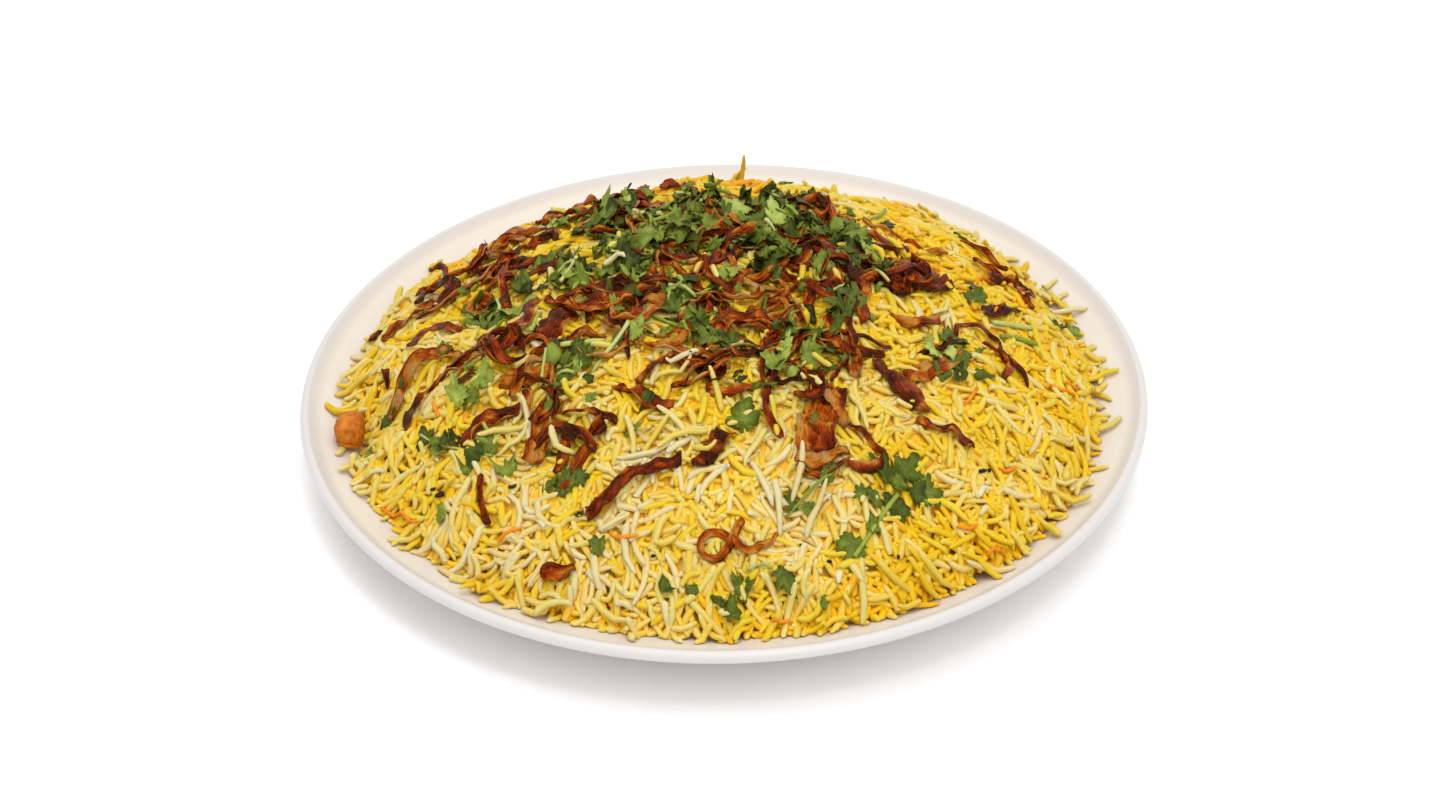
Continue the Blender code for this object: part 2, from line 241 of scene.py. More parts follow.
# Shreds with places of their own: width, arch over the rice, tone, and the route seen from above
PLACED_SHREDS = (
    (2.8, 0.6, 0.42, ((34, -77), (28, -80.5), (23.5, -80), (20.5, -76.5))),
    (4.6, 1.6, 0.85, ((19.5, -73), (26.5, -75.5), (34, -72))),
    (3.6, 1.0, 0.75, ((28, -52), (32, -58), (33, -64))),
)

# Coriander. Lobes of a leaf: direction in radians, height and width
HERBS_SEED = 12
HERBS_R = HEAP_R * 0.93
LEAF_THICKNESS = 0.32
STEEPEST_LEAF = 0.75  # rise over run
STEM_EVERY = 9  # each so many chopped pieces, one is a stem
LOBES = ((0.0, 1.0, 0.62), (0.95, 0.85, 0.62), (-0.95, 0.85, 0.62), (1.95, 0.65, 0.6), (-1.95, 0.65, 0.6))
BROAD_LOBES = ((0.0, 1.0, 1.0), (1.2, 0.85, 0.9), (-1.2, 0.85, 0.9))

# Chopped coriander: middle, reach and number of each gathering
CHOPPED = (
    (-5, 46, 17, 40),
    (24, 44, 12, 26),
    (-32, 38, 17, 56),
    (-12, 26, 15, 44),
    (14, 30, 16, 60),
    (36, 26, 12, 32),
    (20, 8, 16, 36),
    (-48, 12, 13, 30),
    (-72, 2, 11, 22),
    (-30, 4, 13, 26),
    (-12, -18, 11, 22),
    (28, -26, 13, 26),
    (0, -34, 10, 18),
    (46, 6, 10, 18),
    (66, -24, 8, 9),
    (14, -44, 8, 12),
    (-44, -36, 8, 10),
    (-30, 62, 14, 12),
    (-70, -50, 18, 10),
    (0, -10, 80, 34),
)

# Single coriander leaves: place, the way the tip points in degrees, size, and paleness from 0 to 1
LEAVES = (
    # front
    (5, -61, 65, 13.0, 0.45),
    (44, -77, 150, 11.5, 0.25),
    (50, -74, 70, 12.0, 0.35),
    (54, -79, -10, 11.0, 0.45),
    (47, -83, -95, 10.0, 0.25),
    (48, -78, 110, 9.0, 0.50),
    (52, -80, 40, 8.0, 0.20),
    (41, -85, 150, 7.0, 0.40),
    (37, -84, 210, 6.0, 0.40),
    (39, -91, -30, 6.5, 0.45),
    (34, -96, -110, 12.0, 0.50),
    (18, -85, 160, 6.5, 0.40),
    (27, -82, 30, 7.0, 0.40),
    (22, -86, -80, 5.0, 0.50),
    (4, -104.5, -100, 8.5, 0.35),
    (15, -104, -65, 10.5, 0.35),
    (-9, -108, 150, 5.0, 0.40),
    (-2, -109.5, 80, 6.5, 0.30),
    (0, -112.5, -10, 7.5, 0.35),
    (25, -110.5, 10, 4.5, 0.50),
    (-35, -95, 100, 6.5, 0.40),
    (-45, -76, 80, 10.0, 0.35),
    (-41, -74, 20, 7.5, 0.30),
    (-48, -74, 165, 6.5, 0.40),
    # left
    (-62, -64, 110, 11.0, 0.65),
    (-66, -58, 150, 9.0, 0.60),
    (-72, -60, -20, 8.5, 0.20),
    (-80, -53, 140, 7.5, 0.35),
    (-86, -47, 120, 8.0, 0.30),
    (-83, -49, 200, 5.5, 0.30),
    (-105, -38, 160, 5.0, 0.60),
    (-102, -20, -70, 7.0, 0.35),
    (-98, -15, 60, 5.0, 0.30),
    (-84, -12, 50, 6.5, 0.35),
    (-62, -5, 100, 13.0, 0.75),
    (-68, -8, 200, 8.0, 0.45),
    (-45, -38, 160, 8.5, 0.25),
    (-40, -36, 30, 7.5, 0.30),
    (-46, -33, 90, 6.5, 0.40),
    (-30, -29, 60, 7.5, 0.45),
    (-35, -34, 200, 6.0, 0.40),
    (-50, -50, 30, 5.5, 0.60),
    (-38, -48, 90, 5.0, 0.60),
    (-77, 5, 120, 9.0, 0.35),
    # middle
    (15, -45, 90, 10.0, 0.70),
    (22, -27, 40, 11.0, 0.50),
    (30, -36, -20, 10.0, 0.30),
    (27, -30, 170, 8.0, 0.35),
    (35, -39, -60, 6.5, 0.35),
    (40, -16, 95, 10.0, 0.40),
    (36, -22, 80, 8.0, 0.30),
    (-8, -38, 200, 9.0, 0.25),
    (-2, -40, -30, 8.0, 0.30),
    (-6, -26, 80, 10.0, 0.60),
    (-14, -18, 150, 9.0, 0.35),
    (-3, -32, 20, 8.0, 0.45),
    (63, -38, 70, 7.0, 0.35),
    (67, -22, 100, 7.0, 0.35),
    (71, -26, 10, 6.0, 0.40),
    # crown and back
    (-20, 22, 150, 16.0, 0.60),
    (-12, 27, 60, 13.0, 0.55),
    (5, 42, -75, 13.0, 0.90),
    (-38, 36, 120, 12.0, 0.35),
    (-30, 48, 30, 12.0, 0.30),
    (-45, 40, 190, 10.0, 0.30),
    (-22, 40, 80, 13.0, 0.35),
    (10, 28, 10, 11.0, 0.40),
    (22, 34, 60, 11.0, 0.30),
    (33, 30, 130, 10.0, 0.35),
    (43, 26, 100, 12.0, 0.55),
    (46, 12, -20, 9.0, 0.70),
    (20, 16, 200, 9.0, 0.50),
    (12, 6, 70, 9.0, 0.40),
    (30, 4, -40, 9.0, 0.55),
    (-46, 14, 100, 10.0, 0.40),
    (-34, 8, 170, 9.0, 0.50),
    (78, 13, 60, 7.0, 0.25),
    (80, 56, 100, 7.0, 0.30),
    (113, 22, 60, 7.0, 0.60),
    (-12, 52, 60, 10.0, 0.35),
    (18, 50, 140, 10.0, 0.35),
    (-38, 58, 100, 9.0, 0.40),
)

# Coriander stems: width and the route seen from above
STEMS = (
    (1.3, ((47, -81), (42, -88), (38, -94), (34, -100))),
    (0.9, ((16, -88), (22, -84), (29, -81))),
    (0.9, ((5, -101.5), (9, -101), (12, -102))),
    (0.8, ((-66, -60), (-74, -57), (-82, -51), (-88, -45))),
    (0.8, ((-48, -41), (-43, -35), (-41, -30))),
    (1.2, ((-38, -38), (-33, -33), (-27, -26))),
    (1.6, ((-47, -29), (-40, -28.5), (-34, -27))),
    (1.4, ((-56, -23), (-55, -17), (-54, -11))),
    (1.5, ((-30, 30), (-22, 34), (-12, 36))),
    (1.4, ((-16, 4), (-10, 8), (-3, 8))),
    (1.6, ((82, -7), (89, -2), (95, 0))),
    (1.4, ((84, -10), (90, -7), (96, -6))),
    (1.2, ((-20, -20), (-12, -26), (-4, -29))),
    (1.5, ((0, 18), (8, 22), (16, 20))),
    (1.3, ((44, 40), (50, 46), (54, 54))),
)

# Long grains that lie over the onions and herbs: place, direction, length, bend, and which kind of rice
FEATURE_GRAINS = (
    (-56, -52, 100, 16, 0.06, 0),
    (-63, -55, 12, 16, -0.05, 1),
    (-60, -57, 30, 12, 0.05, 1),
    (-26, -64, 100, 15, 0.08, 1),
    (-20, -66, 60, 17, -0.10, 2),
    (-14, -62, 125, 16, 0.10, 1),
    (-22, -71, 8, 18, 0.16, 0),
    (-12, -68, 20, 17, -0.12, 2),
    (-10, -40, 10, 14, 0.14, 0),
    (-14, -44, 20, 13, 0.12, 1),
    (-6, -58, 80, 14, 0.06, 3),
    (-2, -52, 105, 13, 0.05, 2),
    (14, -62, 95, 15, 0.03, 3),
    (8, -70, 60, 15, -0.06, 1),
    (20, -78, 75, 16, 0.06, 0),
    (14, -86, 95, 15, 0.05, 0),
    (24, -88, 60, 14, -0.06, 0),
    (10, -80, 115, 15, 0.05, 0),
    (38, -58, 110, 14, 0.08, 1),
    (-6, 4, 70, 11, 0.05, 2),
    (-2, 1, 100, 10, -0.05, 1),
    (24, -2, 80, 12, 0.04, 3),
    (36, -6, 110, 12, 0.06, 2),
    (66, -8, 60, 13, 0.06, 1),
    (72, 4, 130, 12, 0.05, 3),
)

# Orange strands: place, direction and length
ORANGE_STRANDS = (
    (-96, -62, -35, 9),
    (-90, -69, -50, 9),
    (71, -43, 50, 8),
    (102, -22, 15, 9),
    (106, -16, 40, 7),
    (74, -89, 30, 7),
    (66, -86, 10, 6),
    (80, -62, 20, 6),
    (-84, -38, 110, 7),
    (-28, -93, -20, 8),
    (84, 2, 70, 6),
    (-60, -83, 15, 7),
    (14, -113, 5, 5),
    (-66, 62, 40, 8),
    (60, 74, 130, 8),
)

# Dark seeds and burnt crumbs: place and size
SPECKS = (
    (-81, -66, 2.4),
    (-83, -64, 1.5),
    (72, -68, 2.2),
    (74, -67, 1.4),
    (70, -51, 1.2),
    (60, -44, 1.3),
    (62, -31, 1.5),
    (27, -100, 1.5),
    (20, -95, 1.2),
    (-36, -80, 1.3),
    (-20, -98, 1.3),
    (46, -98, 1.4),
    (92, -34, 1.3),
    (84, -28, 1.2),
    (-98, -48, 1.3),
    (40, 72, 1.6),
    (-50, 70, 1.4),
)

# Where the rice is paler or deeper in colour: place, reach, whiteness and depth of colour
PATCH_SHARE = 0.7  # how fast a patch fades, as a share of its reach
PATCHES = (
    (18, -84, 15, 0.9, -0.35),
    (-16, -68, 15, 0.6, -0.15),
    (-58, -58, 12, 0.4, -0.1),
    (-70, -85, 22, 0.3, -0.15),
    (-104, -5, 18, -0.3, -0.05),
    (-84, -42, 12, -0.2, 0.3),
    (-30, -98, 24, 0.3, -0.1),
    (60, -85, 25, -0.1, 0.0),
    (86, -48, 20, 0.0, 0.0),
    (72, 25, 30, -0.6, 0.45),
    (0, 85, 50, -0.6, 0.45),
    (-75, 55, 25, -0.4, 0.35),
    (0, -10, 40, -0.2, 0.2),
)

# Kinds of rice, from the palest to the deepest: name, colour where pale, where soaked, and at the tips
RICE_KINDS = (
    ("rice_white", "#cbc39c", "#c8b880", "#cec7aa"),
    ("rice_ivory", "#ccc180", "#cab75e", "#cec592"),
    ("rice_straw", "#cebb5c", "#cbb13e", "#cfc072"),
    ("rice_lemon", "#d0ba34", "#ccae1c", "#d1be54"),
    ("rice_yellow", "#d3b31a", "#cda40a", "#d4b93e"),
    ("rice_deep_yellow", "#d4a80e", "#ce9808", "#d5b128"),
    ("rice_golden", "#d5960c", "#cb8206", "#d6a41e"),
    ("rice_orange", "#d3780c", "#c55a06", "#d79118"),
)

# Which kind a grain is: the middle and spread of the draw, and how far it is moved by a pale or deep patch,
# by how deep the grain lies (deeper grains take deeper kinds: painted golden shade in the gaps), and by soft
# blotches
KIND_MIDDLE, KIND_SPREAD = 2.3, 1.05
PATCH_PULL = 2.2
GAP_GOLD_PULL = 2.6
BLOTCHES = (9.0, 1.1)  # reach and pull
WHITE_PATCH = 0.25  # outside such patches, most of the whitest grains are ivory
IVORY_SHARE = 0.6

# Colours of the toppings, each from one end of its range to the other
LEAF_COLOURS = ("#1c2204", "#3a440c", "#5c681c", "#828e36", "#a6b25a")
STEM_COLOURS = ("#66741a", "#93a03e", "#bcc078")
ONION_COLOURS = ("#260300", "#540c00", "#802300", "#a04602", "#ba781c", "#ac8452")
NUT_COLOURS = ("#7c2c04", "#ae560a", "#c87a1a", "#b8620e")

# Thin strands and stems, and the floor of the studio
TUBE_SIDES = 6
STRAND_WIDTH = 1.25
FLOOR_HALF = 4.0

# Camera and lights, in metres. Lights: name, place, size and power
CAMERA_PLACE = (-0.00116, -0.5092, 0.3799)
CAMERA_AIM = (-0.00116, -0.0196, 0.024)
CAMERA_ROLL = -1.287  # degrees
LIGHTS_AIM = (0.0, 0.0, 0.02)
LIGHTS = (
    ("overhead", (-0.06, 0.06, 1.2), 1.0, 6.4),
    ("front", (0.25, -0.8, 1.0), 0.9, 4.6),
    ("glint", (0.12, -0.45, 1.0), 0.16, 1.2),
)


def paint(code):
    """A colour written as #rrggbb, as the linear colour that a shader takes."""
    parts = [int(code[i : i + 2], 16) / 255 for i in (1, 3, 5)]
    return tuple(c / 12.92 if c <= 0.04045 else ((c + 0.055) / 1.055) ** 2.4 for c in parts) + (1.0,)


class Dye:
    """A socket of a material's nodes. Arithmetic on it adds Math nodes, and add brings in any other."""

    def __init__(self, tree, socket=None):
        self.tree = tree
        self.socket = socket

    def add(self, kind, settings=None, sockets=None, take=0):
        """A new node of that kind, with its settings and the values or dyes for its sockets."""
        node = self.tree.nodes.new("ShaderNode" + kind)
        for name, value in (settings or {}).items():
            setattr(node, name, value)
        for name, value in (sockets or {}).items():
            if isinstance(value, Dye):
                self.tree.links.new(value.socket, node.inputs[name])
            else:
                node.inputs[name].default_value = value
        return Dye(self.tree, node.outputs[take])

    def maths(self, operation, first, second=0.0, clamp=False):
        """One step of arithmetic, kept between 0 and 1 where clamp is set."""
        return self.add("Math", {"operation": operation, "use_clamp": clamp}, {0: first, 1: second})

    def __add__(self, other):
        return self.maths("ADD", self, other)

    def __sub__(self, other):
        return self.maths("SUBTRACT", self, other)

    def __rsub__(self, other):
        return self.maths("SUBTRACT", other, self)

    def __mul__(self, other):
        return self.maths("MULTIPLY", self, other)

    __radd__ = __add__
    __rmul__ = __mul__

    def held(self):
        """The value kept between 0 and 1."""
        return self.maths("ADD", self, 0.0, clamp=True)

    def between(self, low, high):
        """0 below one value and 1 above the other, with a straight ramp between them."""
        return ((self - low) * (1.0 / (high - low))).held()

    def mix(self, first, second):
        """A colour that goes from the first to the second as this value goes from 0 to 1."""
        return self.add("Mix", {"data_type": "RGBA"}, {0: self, 6: first, 7: second}, take=2)

    def tinted(self, colour):
        """This colour times another."""
        return self.add("VectorMath", {"operation": "MULTIPLY"}, {0: self, 1: colour})

    def ladder(self, *colours):
        """A colour that climbs through evenly spaced colours as this value goes from 0 to 1."""
        steps = len(colours) - 1
        made = paint(colours[0])
        for k, colour in enumerate(colours[1:]):
            made = self.between(k / steps, (k + 1) / steps).mix(made, paint(colour))
        return made

    def marks(self, name):
        """A number that the mesh carries at each point."""
        return self.add("Attribute", {"attribute_name": name}, take="Fac")

    def noise(self, place, scale, detail=3.0, rough=0.55):
        """Soft noise from 0 to 1 at a place."""
        sockets = {"Vector": place, "Scale": scale, "Detail": detail, "Roughness": rough}
        return self.add("TexNoise", sockets=sockets)

    def grain(self, scale):
        """Soft noise fixed to the object."""
        return self.noise(self.add("TexCoord", take="Object"), scale)

    def bump(self, height, distance, strength):
        """Relief for a Normal socket, with the distance in metres."""
        return self.add("Bump", sockets={"Height": height, "Distance": distance, "Strength": strength})


def new_finish(name, **still):
    """A material, its shader and a Dye to start from. Numbers in still are the same all over."""
    made = bpy.data.materials.new(name)
    made.use_nodes = True
    shader = made.node_tree.nodes["Principled BSDF"]
    for socket, value in still.items():
        shader.inputs[socket.replace("_", " ")].default_value = value
    return made, shader, Dye(made.node_tree)


def drive(shader, **sockets):
    """Links dyes to the shader's sockets."""
    for name, dye in sockets.items():
        dye.tree.links.new(dye.socket, shader.inputs[name.replace("_", " ")])


def rice_finish(name, pale, deep, tip):
    """Cooked rice: moist, paler or deeper from end to end, and bright golden below the rice's top, which is
    painted warm light in the gaps between grains.
    """
    made, shader, dye = new_finish(
        name,
        Subsurface_Weight=0.5,
        Subsurface_Radius=(1.0, 0.8, 0.25),
        Subsurface_Scale=0.0008,
        Specular_IOR_Level=0.2,
        Specular_Tint=(1.0, 0.9, 0.6, 1.0),
        Sheen_Weight=0.2,
        Sheen_Roughness=0.4,
        Sheen_Tint=(1.0, 0.8, 0.3, 1.0),
    )
    soak = (dye.marks("soak") + (dye.grain(260.0) - 0.5) * 0.5).held()
    ends = dye.marks("tip").between(0.6, 1.0) * 0.5
    coloured = ends.mix(soak.mix(paint(pale), paint(deep)), paint(tip))
    shade = (dye.marks("shade") + (dye.grain(700.0) - 0.5) * 0.12).held()
    shadow = shade.mix(paint("#f0d8a4"), paint("#ffffff"))
    # Below the rice's top the colour goes toward bright golden #f8c410: painted warm light in the shaded gaps
    # between grains.
    with_gap_gold = (dye.marks("painted_gap_gold") * 0.85).mix(coloured.tinted(shadow), paint("#f8c410"))
    drive(
        shader,
        Base_Color=with_gap_gold,
        Roughness=dye.grain(900.0) * 0.25 + 0.3,
        Normal=dye.bump(dye.grain(1400.0), 0.00012, 0.5),
    )
    return made


def onion_finish():
    """Fried onion: oily, with fibres along each strip, from nearly black to tan, darker at the edges, and
    lighter on the raised creases, which is painted light and shade.
    """
    made, shader, dye = new_finish(
        "fried_onion",
        Specular_IOR_Level=0.5,
        Specular_Tint=(1.0, 0.48, 0.16, 1.0),
        Subsurface_Weight=0.4,
        Subsurface_Radius=(1.0, 0.3, 0.06),
        Subsurface_Scale=0.0008,
    )
    run = dye.add("CombineXYZ", sockets={"X": dye.marks("across"), "Y": dye.marks("along") * 0.4})
    fibre = dye.noise(run, 1.7, rough=0.6)
    fold = dye.noise(run, 0.5, detail=2.0, rough=0.5)
    crease = (dye.maths("ABSOLUTE", fold - 0.5) * 5.0).held()
    mottle = (dye.grain(170.0) - 0.5) * 0.5 + (fibre - 0.5) * 0.5
    # The tone rises where the creases stand up in the bump and falls in their hollows: painted light and
    # shade following the relief.
    tone = (dye.marks("tone") + mottle + (crease - 0.45) * 0.25).held()
    edge = (dye.marks("edge").between(0.45, 1.0) * (dye.grain(500.0) + 0.2)).held() * 0.75
    drive(
        shader,
        Base_Color=edge.mix(tone.ladder(*ONION_COLOURS), paint("#481202")),
        Roughness=dye.grain(600.0) * 0.25 + 0.1,
        Normal=dye.bump(dye.grain(1500.0) * 0.3 + fibre + crease * 0.7, 0.001, 0.95),
    )
    return made


def herb_finish(name, *colours):
    """Chopped coriander, from dark to pale by each piece's own mark."""
    made, shader, dye = new_finish(
        name,
        Specular_IOR_Level=0.28,
        Specular_Tint=(0.9, 1.0, 0.45, 1.0),
        Subsurface_Weight=0.1,
        Subsurface_Radius=(0.5, 1.0, 0.1),
        Subsurface_Scale=0.0006,
    )
    tone = (dye.marks("tone") + (dye.grain(300.0) - 0.5) * 0.7).held()
    drive(
        shader,
        Base_Color=tone.ladder(*colours),
        Roughness=dye.grain(700.0) * 0.25 + 0.28,
        Normal=dye.bump(dye.grain(1300.0), 0.0003, 0.8),
    )
    return made


def plain_finish(name, low, high, roughness, scale=500.0, relief=0.0003):
    """Two close colours mottled together, with a fine relief."""
    made, shader, dye = new_finish(name, Roughness=roughness, Specular_IOR_Level=0.2)
    drive(
        shader,
        Base_Color=dye.grain(scale).between(0.3, 0.7).mix(paint(low), paint(high)),
        Normal=dye.bump(dye.grain(scale * 2.5), relief, 0.8),
    )
    return made


def plate_finish():
    """Glaze, white on the lip and the outside and creamy where it holds the food."""
    made, shader, dye = new_finish("plate_glaze", Specular_IOR_Level=0.35)
    creamy = (dye.marks("inside") * (dye.grain(22.0) * 0.3 + 0.85)).held()
    drive(
        shader,
        Base_Color=creamy.mix(paint("#cac5c2"), paint("#d7cfc4")),
        Roughness=dye.grain(60.0) * 0.08 + 0.32,
        Normal=dye.bump(dye.grain(35.0), 0.0004, 0.15),
    )
    return made


def polar(r, a):
    """The spot at a distance from the middle, in a direction."""
    return r * math.cos(a), r * math.sin(a)


def disc_spot(chance, reach):
    """A random spot in a disc around the middle."""
    r = reach * math.sqrt(chance.random())
    return polar(r, chance.uniform(0, math.tau))


def turned(x, y, turn):
    """Coordinates turned about the middle."""
    c, s = math.cos(turn), math.sin(turn)
    return x * c - y * s, x * s + y * c


def add_object(name, data):
    """A new object of the scene."""
    made = bpy.data.objects.new(name, data)
    bpy.context.scene.collection.objects.link(made)
    return made


def make_piece(name, points, faces, finish, marks=None, cells=None):
    """A mesh piece from points in millimetres. Marks are numbers at each point, cells its texture map."""
    mesh = bpy.data.meshes.new(name)
    mesh.from_pydata(np.asarray(points) * MM, [], faces)
    for mark, values in (marks or {}).items():
        numbers = mesh.attributes.new(mark, "FLOAT", "POINT").data
        numbers.foreach_set("value", np.asarray(values, np.float32))
    if cells is not None:
        mesh.uv_layers.new(name="OFBake").data.foreach_set("uv", np.asarray(cells, np.float32).ravel())
    mesh.shade_smooth()
    mesh.materials.append(finish)
    piece = add_object(name, mesh)
    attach(piece, "root")
    return piece


class Heaped:
    """Many small closed shapes gathered into one piece."""

    def __init__(self):
        self.points = []
        self.faces = []
        self.marks = {}
        self.count = 0

    def put(self, points, faces, **marks):
        """Adds one shape, with a number or an array of them for each mark."""
        self.points.append(np.asarray(points))
        self.faces += [tuple(i + self.count for i in face) for face in faces]
        for name, values in marks.items():
            self.marks.setdefault(name, []).append(np.broadcast_to(values, len(points)))
        self.count += len(points)

    def make(self, name, slot, finish):
        """The piece of all that was put in."""
        marks = {mark: np.concatenate(values) for mark, values in self.marks.items()}
        make_piece(name, np.concatenate(self.points), self.faces, finish, marks)


def fill_in(coarse, low, part):
    """Heights between those of a coarse grid. Low is the row before each, part the way to the next."""
    rows = coarse[low] * (1 - part)[:, None] + coarse[low + 1] * part[:, None]
    return rows[:, low] * (1 - part) + rows[:, low + 1] * part


class Ground:
    """The height of what lies below, at every spot seen from above."""

    def __init__(self):
        self.count = int(2 * GROUND_HALF / CELL) + 1
        self.line = np.linspace(-GROUND_HALF, GROUND_HALF, self.count)
        self.x, self.y = np.meshgrid(self.line, self.line, indexing="ij")
        self.plate = self.look_down(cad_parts["plate"])
        self.heap = self.look_down(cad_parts["rice_heap"])
        self.z = self.plate.copy()

    def look_down(self, node):
        """Heights of a CAD node's top."""
        points = [vertex.co / MM for vertex in node.data.vertices]
        tree = BVHTree.FromPolygons(points, [tuple(face.vertices) for face in node.data.polygons])
        line = self.line[::LOOK_STEP]
        coarse = np.zeros((len(line), len(line)))
        for i, x in enumerate(line):
            for j, y in enumerate(line):
                hit = tree.ray_cast(Vector((x, y, 200.0)), Vector((0, 0, -1)))[0]
                coarse[i, j] = hit.z if hit else 0.0
        at = np.arange(self.count) / LOOK_STEP
        low = np.minimum(at.astype(int), coarse.shape[0] - 2)
        return fill_in(coarse, low, at - low)

    def spot(self, x, y):
        """The grid's indices nearest to a spot, or to many."""
        i = np.clip(np.rint((np.asarray(x) + GROUND_HALF) / CELL).astype(int), 0, self.count - 1)
        j = np.clip(np.rint((np.asarray(y) + GROUND_HALF) / CELL).astype(int), 0, self.count - 1)
        return i, j

    def at(self, x, y):
        """Height of all that lies there so far."""
        return self.z[self.spot(x, y)]

    def keep_rice_top(self):
        """Remembers the height of the poured rice, smoothed over a few millimetres."""
        wide = self.z.copy()
        for _ in range(10):
            for axis in (0, 1):
                wide = (np.roll(wide, 1, axis) + 2 * wide + np.roll(wide, -1, axis)) / 4
        self.rice_top = wide + 0.6

    def raise_to(self, x, y, z):
        """Raises the ground to the points of something that was laid on it."""
        np.maximum.at(self.z, self.spot(x, y), z)

    def lean(self, x, y, reach):
        """Slopes of a plane laid over the ground around a spot."""
        off = np.array([-1.0, -0.5, 0.0, 0.5, 1.0]) * reach
        dx, dy = np.meshgrid(off, off)
        h = self.at(x + dx, y + dy)
        spread = (dx**2).sum()
        return np.clip([(h * dx).sum() / spread, (h * dy).sum() / spread], -0.9, 0.9)


def soft_noise(ground, chance, reach, height):
    """Smooth random relief on the ground's grid, with bumps about reach wide."""
    count = int(2 * GROUND_HALF / reach) + 4
    coarse = chance.normal(0, 1, (count, count))
    at = (ground.line + GROUND_HALF) / reach + 1
    low = at.astype(int)
    part = at - low
    return height * fill_in(coarse, low, part * part * (3 - 2 * part))


def lay_core(ground, chance):
    """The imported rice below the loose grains: the heap's own form, sunk by the depth of the loose layer."""
    ground.uneven = sum(soft_noise(ground, chance, *size) for size in HEAP_RELIEF)
    relief = ground.uneven + soft_noise(ground, chance, *CORE_RELIEF)
    share = np.hypot(ground.x, ground.y) / HEAP_R
    rim = np.clip((share - EDGE_FROM) / (EDGE_TO - EDGE_FROM), 0, 1) ** 2
    depth = CRUST + EDGE_CRUST * rim
    core = np.where(ground.heap > 1.0, ground.heap - depth + relief, 0.0)
    ground.core = np.maximum(core, ground.plate - 0.6)
    ground.z = np.maximum(ground.plate, core)


# Places along a grain from -1 to 1: its sections, and the spots where it feels the ground. PAIRS are two
# spots, one on each side of the middle, that may carry it. DROOP turns gaps at SPOTS into smooth ones at U.
U = np.array([-1.0, -0.95, -0.8, -0.3, 0.3, 0.8, 0.95, 1.0])
SPOTS = np.linspace(-0.94, 0.94, 9)
HALF = len(SPOTS) // 2
PAIRS = np.array([(i, j) for i in range(HALF) for j in range(HALF + 1, len(SPOTS))])
DROOP = np.polynomial.polynomial.polyvander(U, 4) @ np.linalg.pinv(
    np.polynomial.polynomial.polyvander(SPOTS, 4)
)


class Grains:
    """Rice grains as they come to rest, with a number in each list for every grain."""

    def __init__(self):
        self.lines = []  # bent centre lines, at the places of U
        self.widths = []
        self.middles = []
        self.depth = []  # below the heap's own surface
        self.kind = []  # which row of RICE_KINDS
        self.soak = []
        self.shade = []


def rest_line(ground, x, y, turn, length, bend, curl, limp):
    """A soft grain's centre line at rest: on its highest supports, and sagging between them if limp."""
    way = np.array([math.cos(turn), math.sin(turn)])
    side = np.array([-way[1], way[0]])

    def seen_from_above(u):
        sway = length * (bend * (u**2 - 0.4) + curl * (u**3 - 0.6 * u))
        return x + way[0] * u * length / 2 + side[0] * sway, y + way[1] * u * length / 2 + side[1] * sway

    h = ground.at(*seen_from_above(SPOTS))
    s = SPOTS * length / 2
    i, j = PAIRS[:, 0], PAIRS[:, 1]
    middle = (h[i] * s[j] - h[j] * s[i]) / (s[j] - s[i])
    best = int(np.argmax(middle))
    if h[HALF] > middle[best]:
        rises = (h[HALF + 1 :] - h[HALF]) / s[HALF + 1 :]
        falls = (h[:HALF] - h[HALF]) / s[:HALF]
        slope = (rises.max() + falls.min()) / 2
        base = h[HALF]
    else:
        slope = (h[j[best]] - h[i[best]]) / (s[j[best]] - s[i[best]])
        base = middle[best]
    slope = max(-GRAIN_SLOPE, min(GRAIN_SLOPE, slope))
    gap = np.clip(base + slope * s - h, 0.0, GRAIN_SAG)
    cx, cy = seen_from_above(U)
    z = base + slope * U * length / 2 - limp * np.maximum(DROOP @ gap, 0.0)
    return np.stack([cx, cy, z], axis=1)


# A grain's upper side, as it raises the ground: places across and along it, half width and height
ACROSS = np.array([-0.85, -0.45, 0.0, 0.45, 0.85])
ALONG = np.linspace(-0.97, 0.97, 33)
BODY = np.sqrt(1 - ALONG**4)
DOME = np.sqrt(1 - ACROSS**2)


def lay_grain(
    ground, grains, x, y, turn, length, width, bend, curl, limp, tip_up=0.0, sink=0.0, press=0.0, kind=None
):
    """Lays a grain, lower by sink times its width and by press times its height over the heap."""
    line = rest_line(ground, x, y, turn, length, bend, curl, limp)
    line[:, 2] += width * (0.4 - sink) + tip_up * U
    spots = ground.spot(line[:, 0], line[:, 1])
    stands = line[:, 2] - ground.heap[spots] - ground.uneven[spots]
    line[:, 2] -= press * np.clip(stands, 0.0, 4.0) * (ground.heap[spots] > 1.0)
    line[:, 2] = np.maximum(line[:, 2], ground.plate[spots] + width * 0.35)
    cx, cy, cz = (np.interp(ALONG, U, line[:, k]) for k in range(3))
    way = line[-1, :2] - line[0, :2]
    way = way / (np.linalg.norm(way) + 1e-9)
    radius = width / 2 * BODY
    off = ACROSS[:, None] * radius
    grains.depth.append(float(ground.heap[ground.spot(x, y)] - line[:, 2].mean()))
    ground.raise_to(cx - way[1] * off, cy + way[0] * off, cz + radius * DOME[:, None] * 0.85)
    grains.lines.append(line)
    grains.widths.append(width)
    grains.middles.append((x, y))
    grains.kind.append(kind)


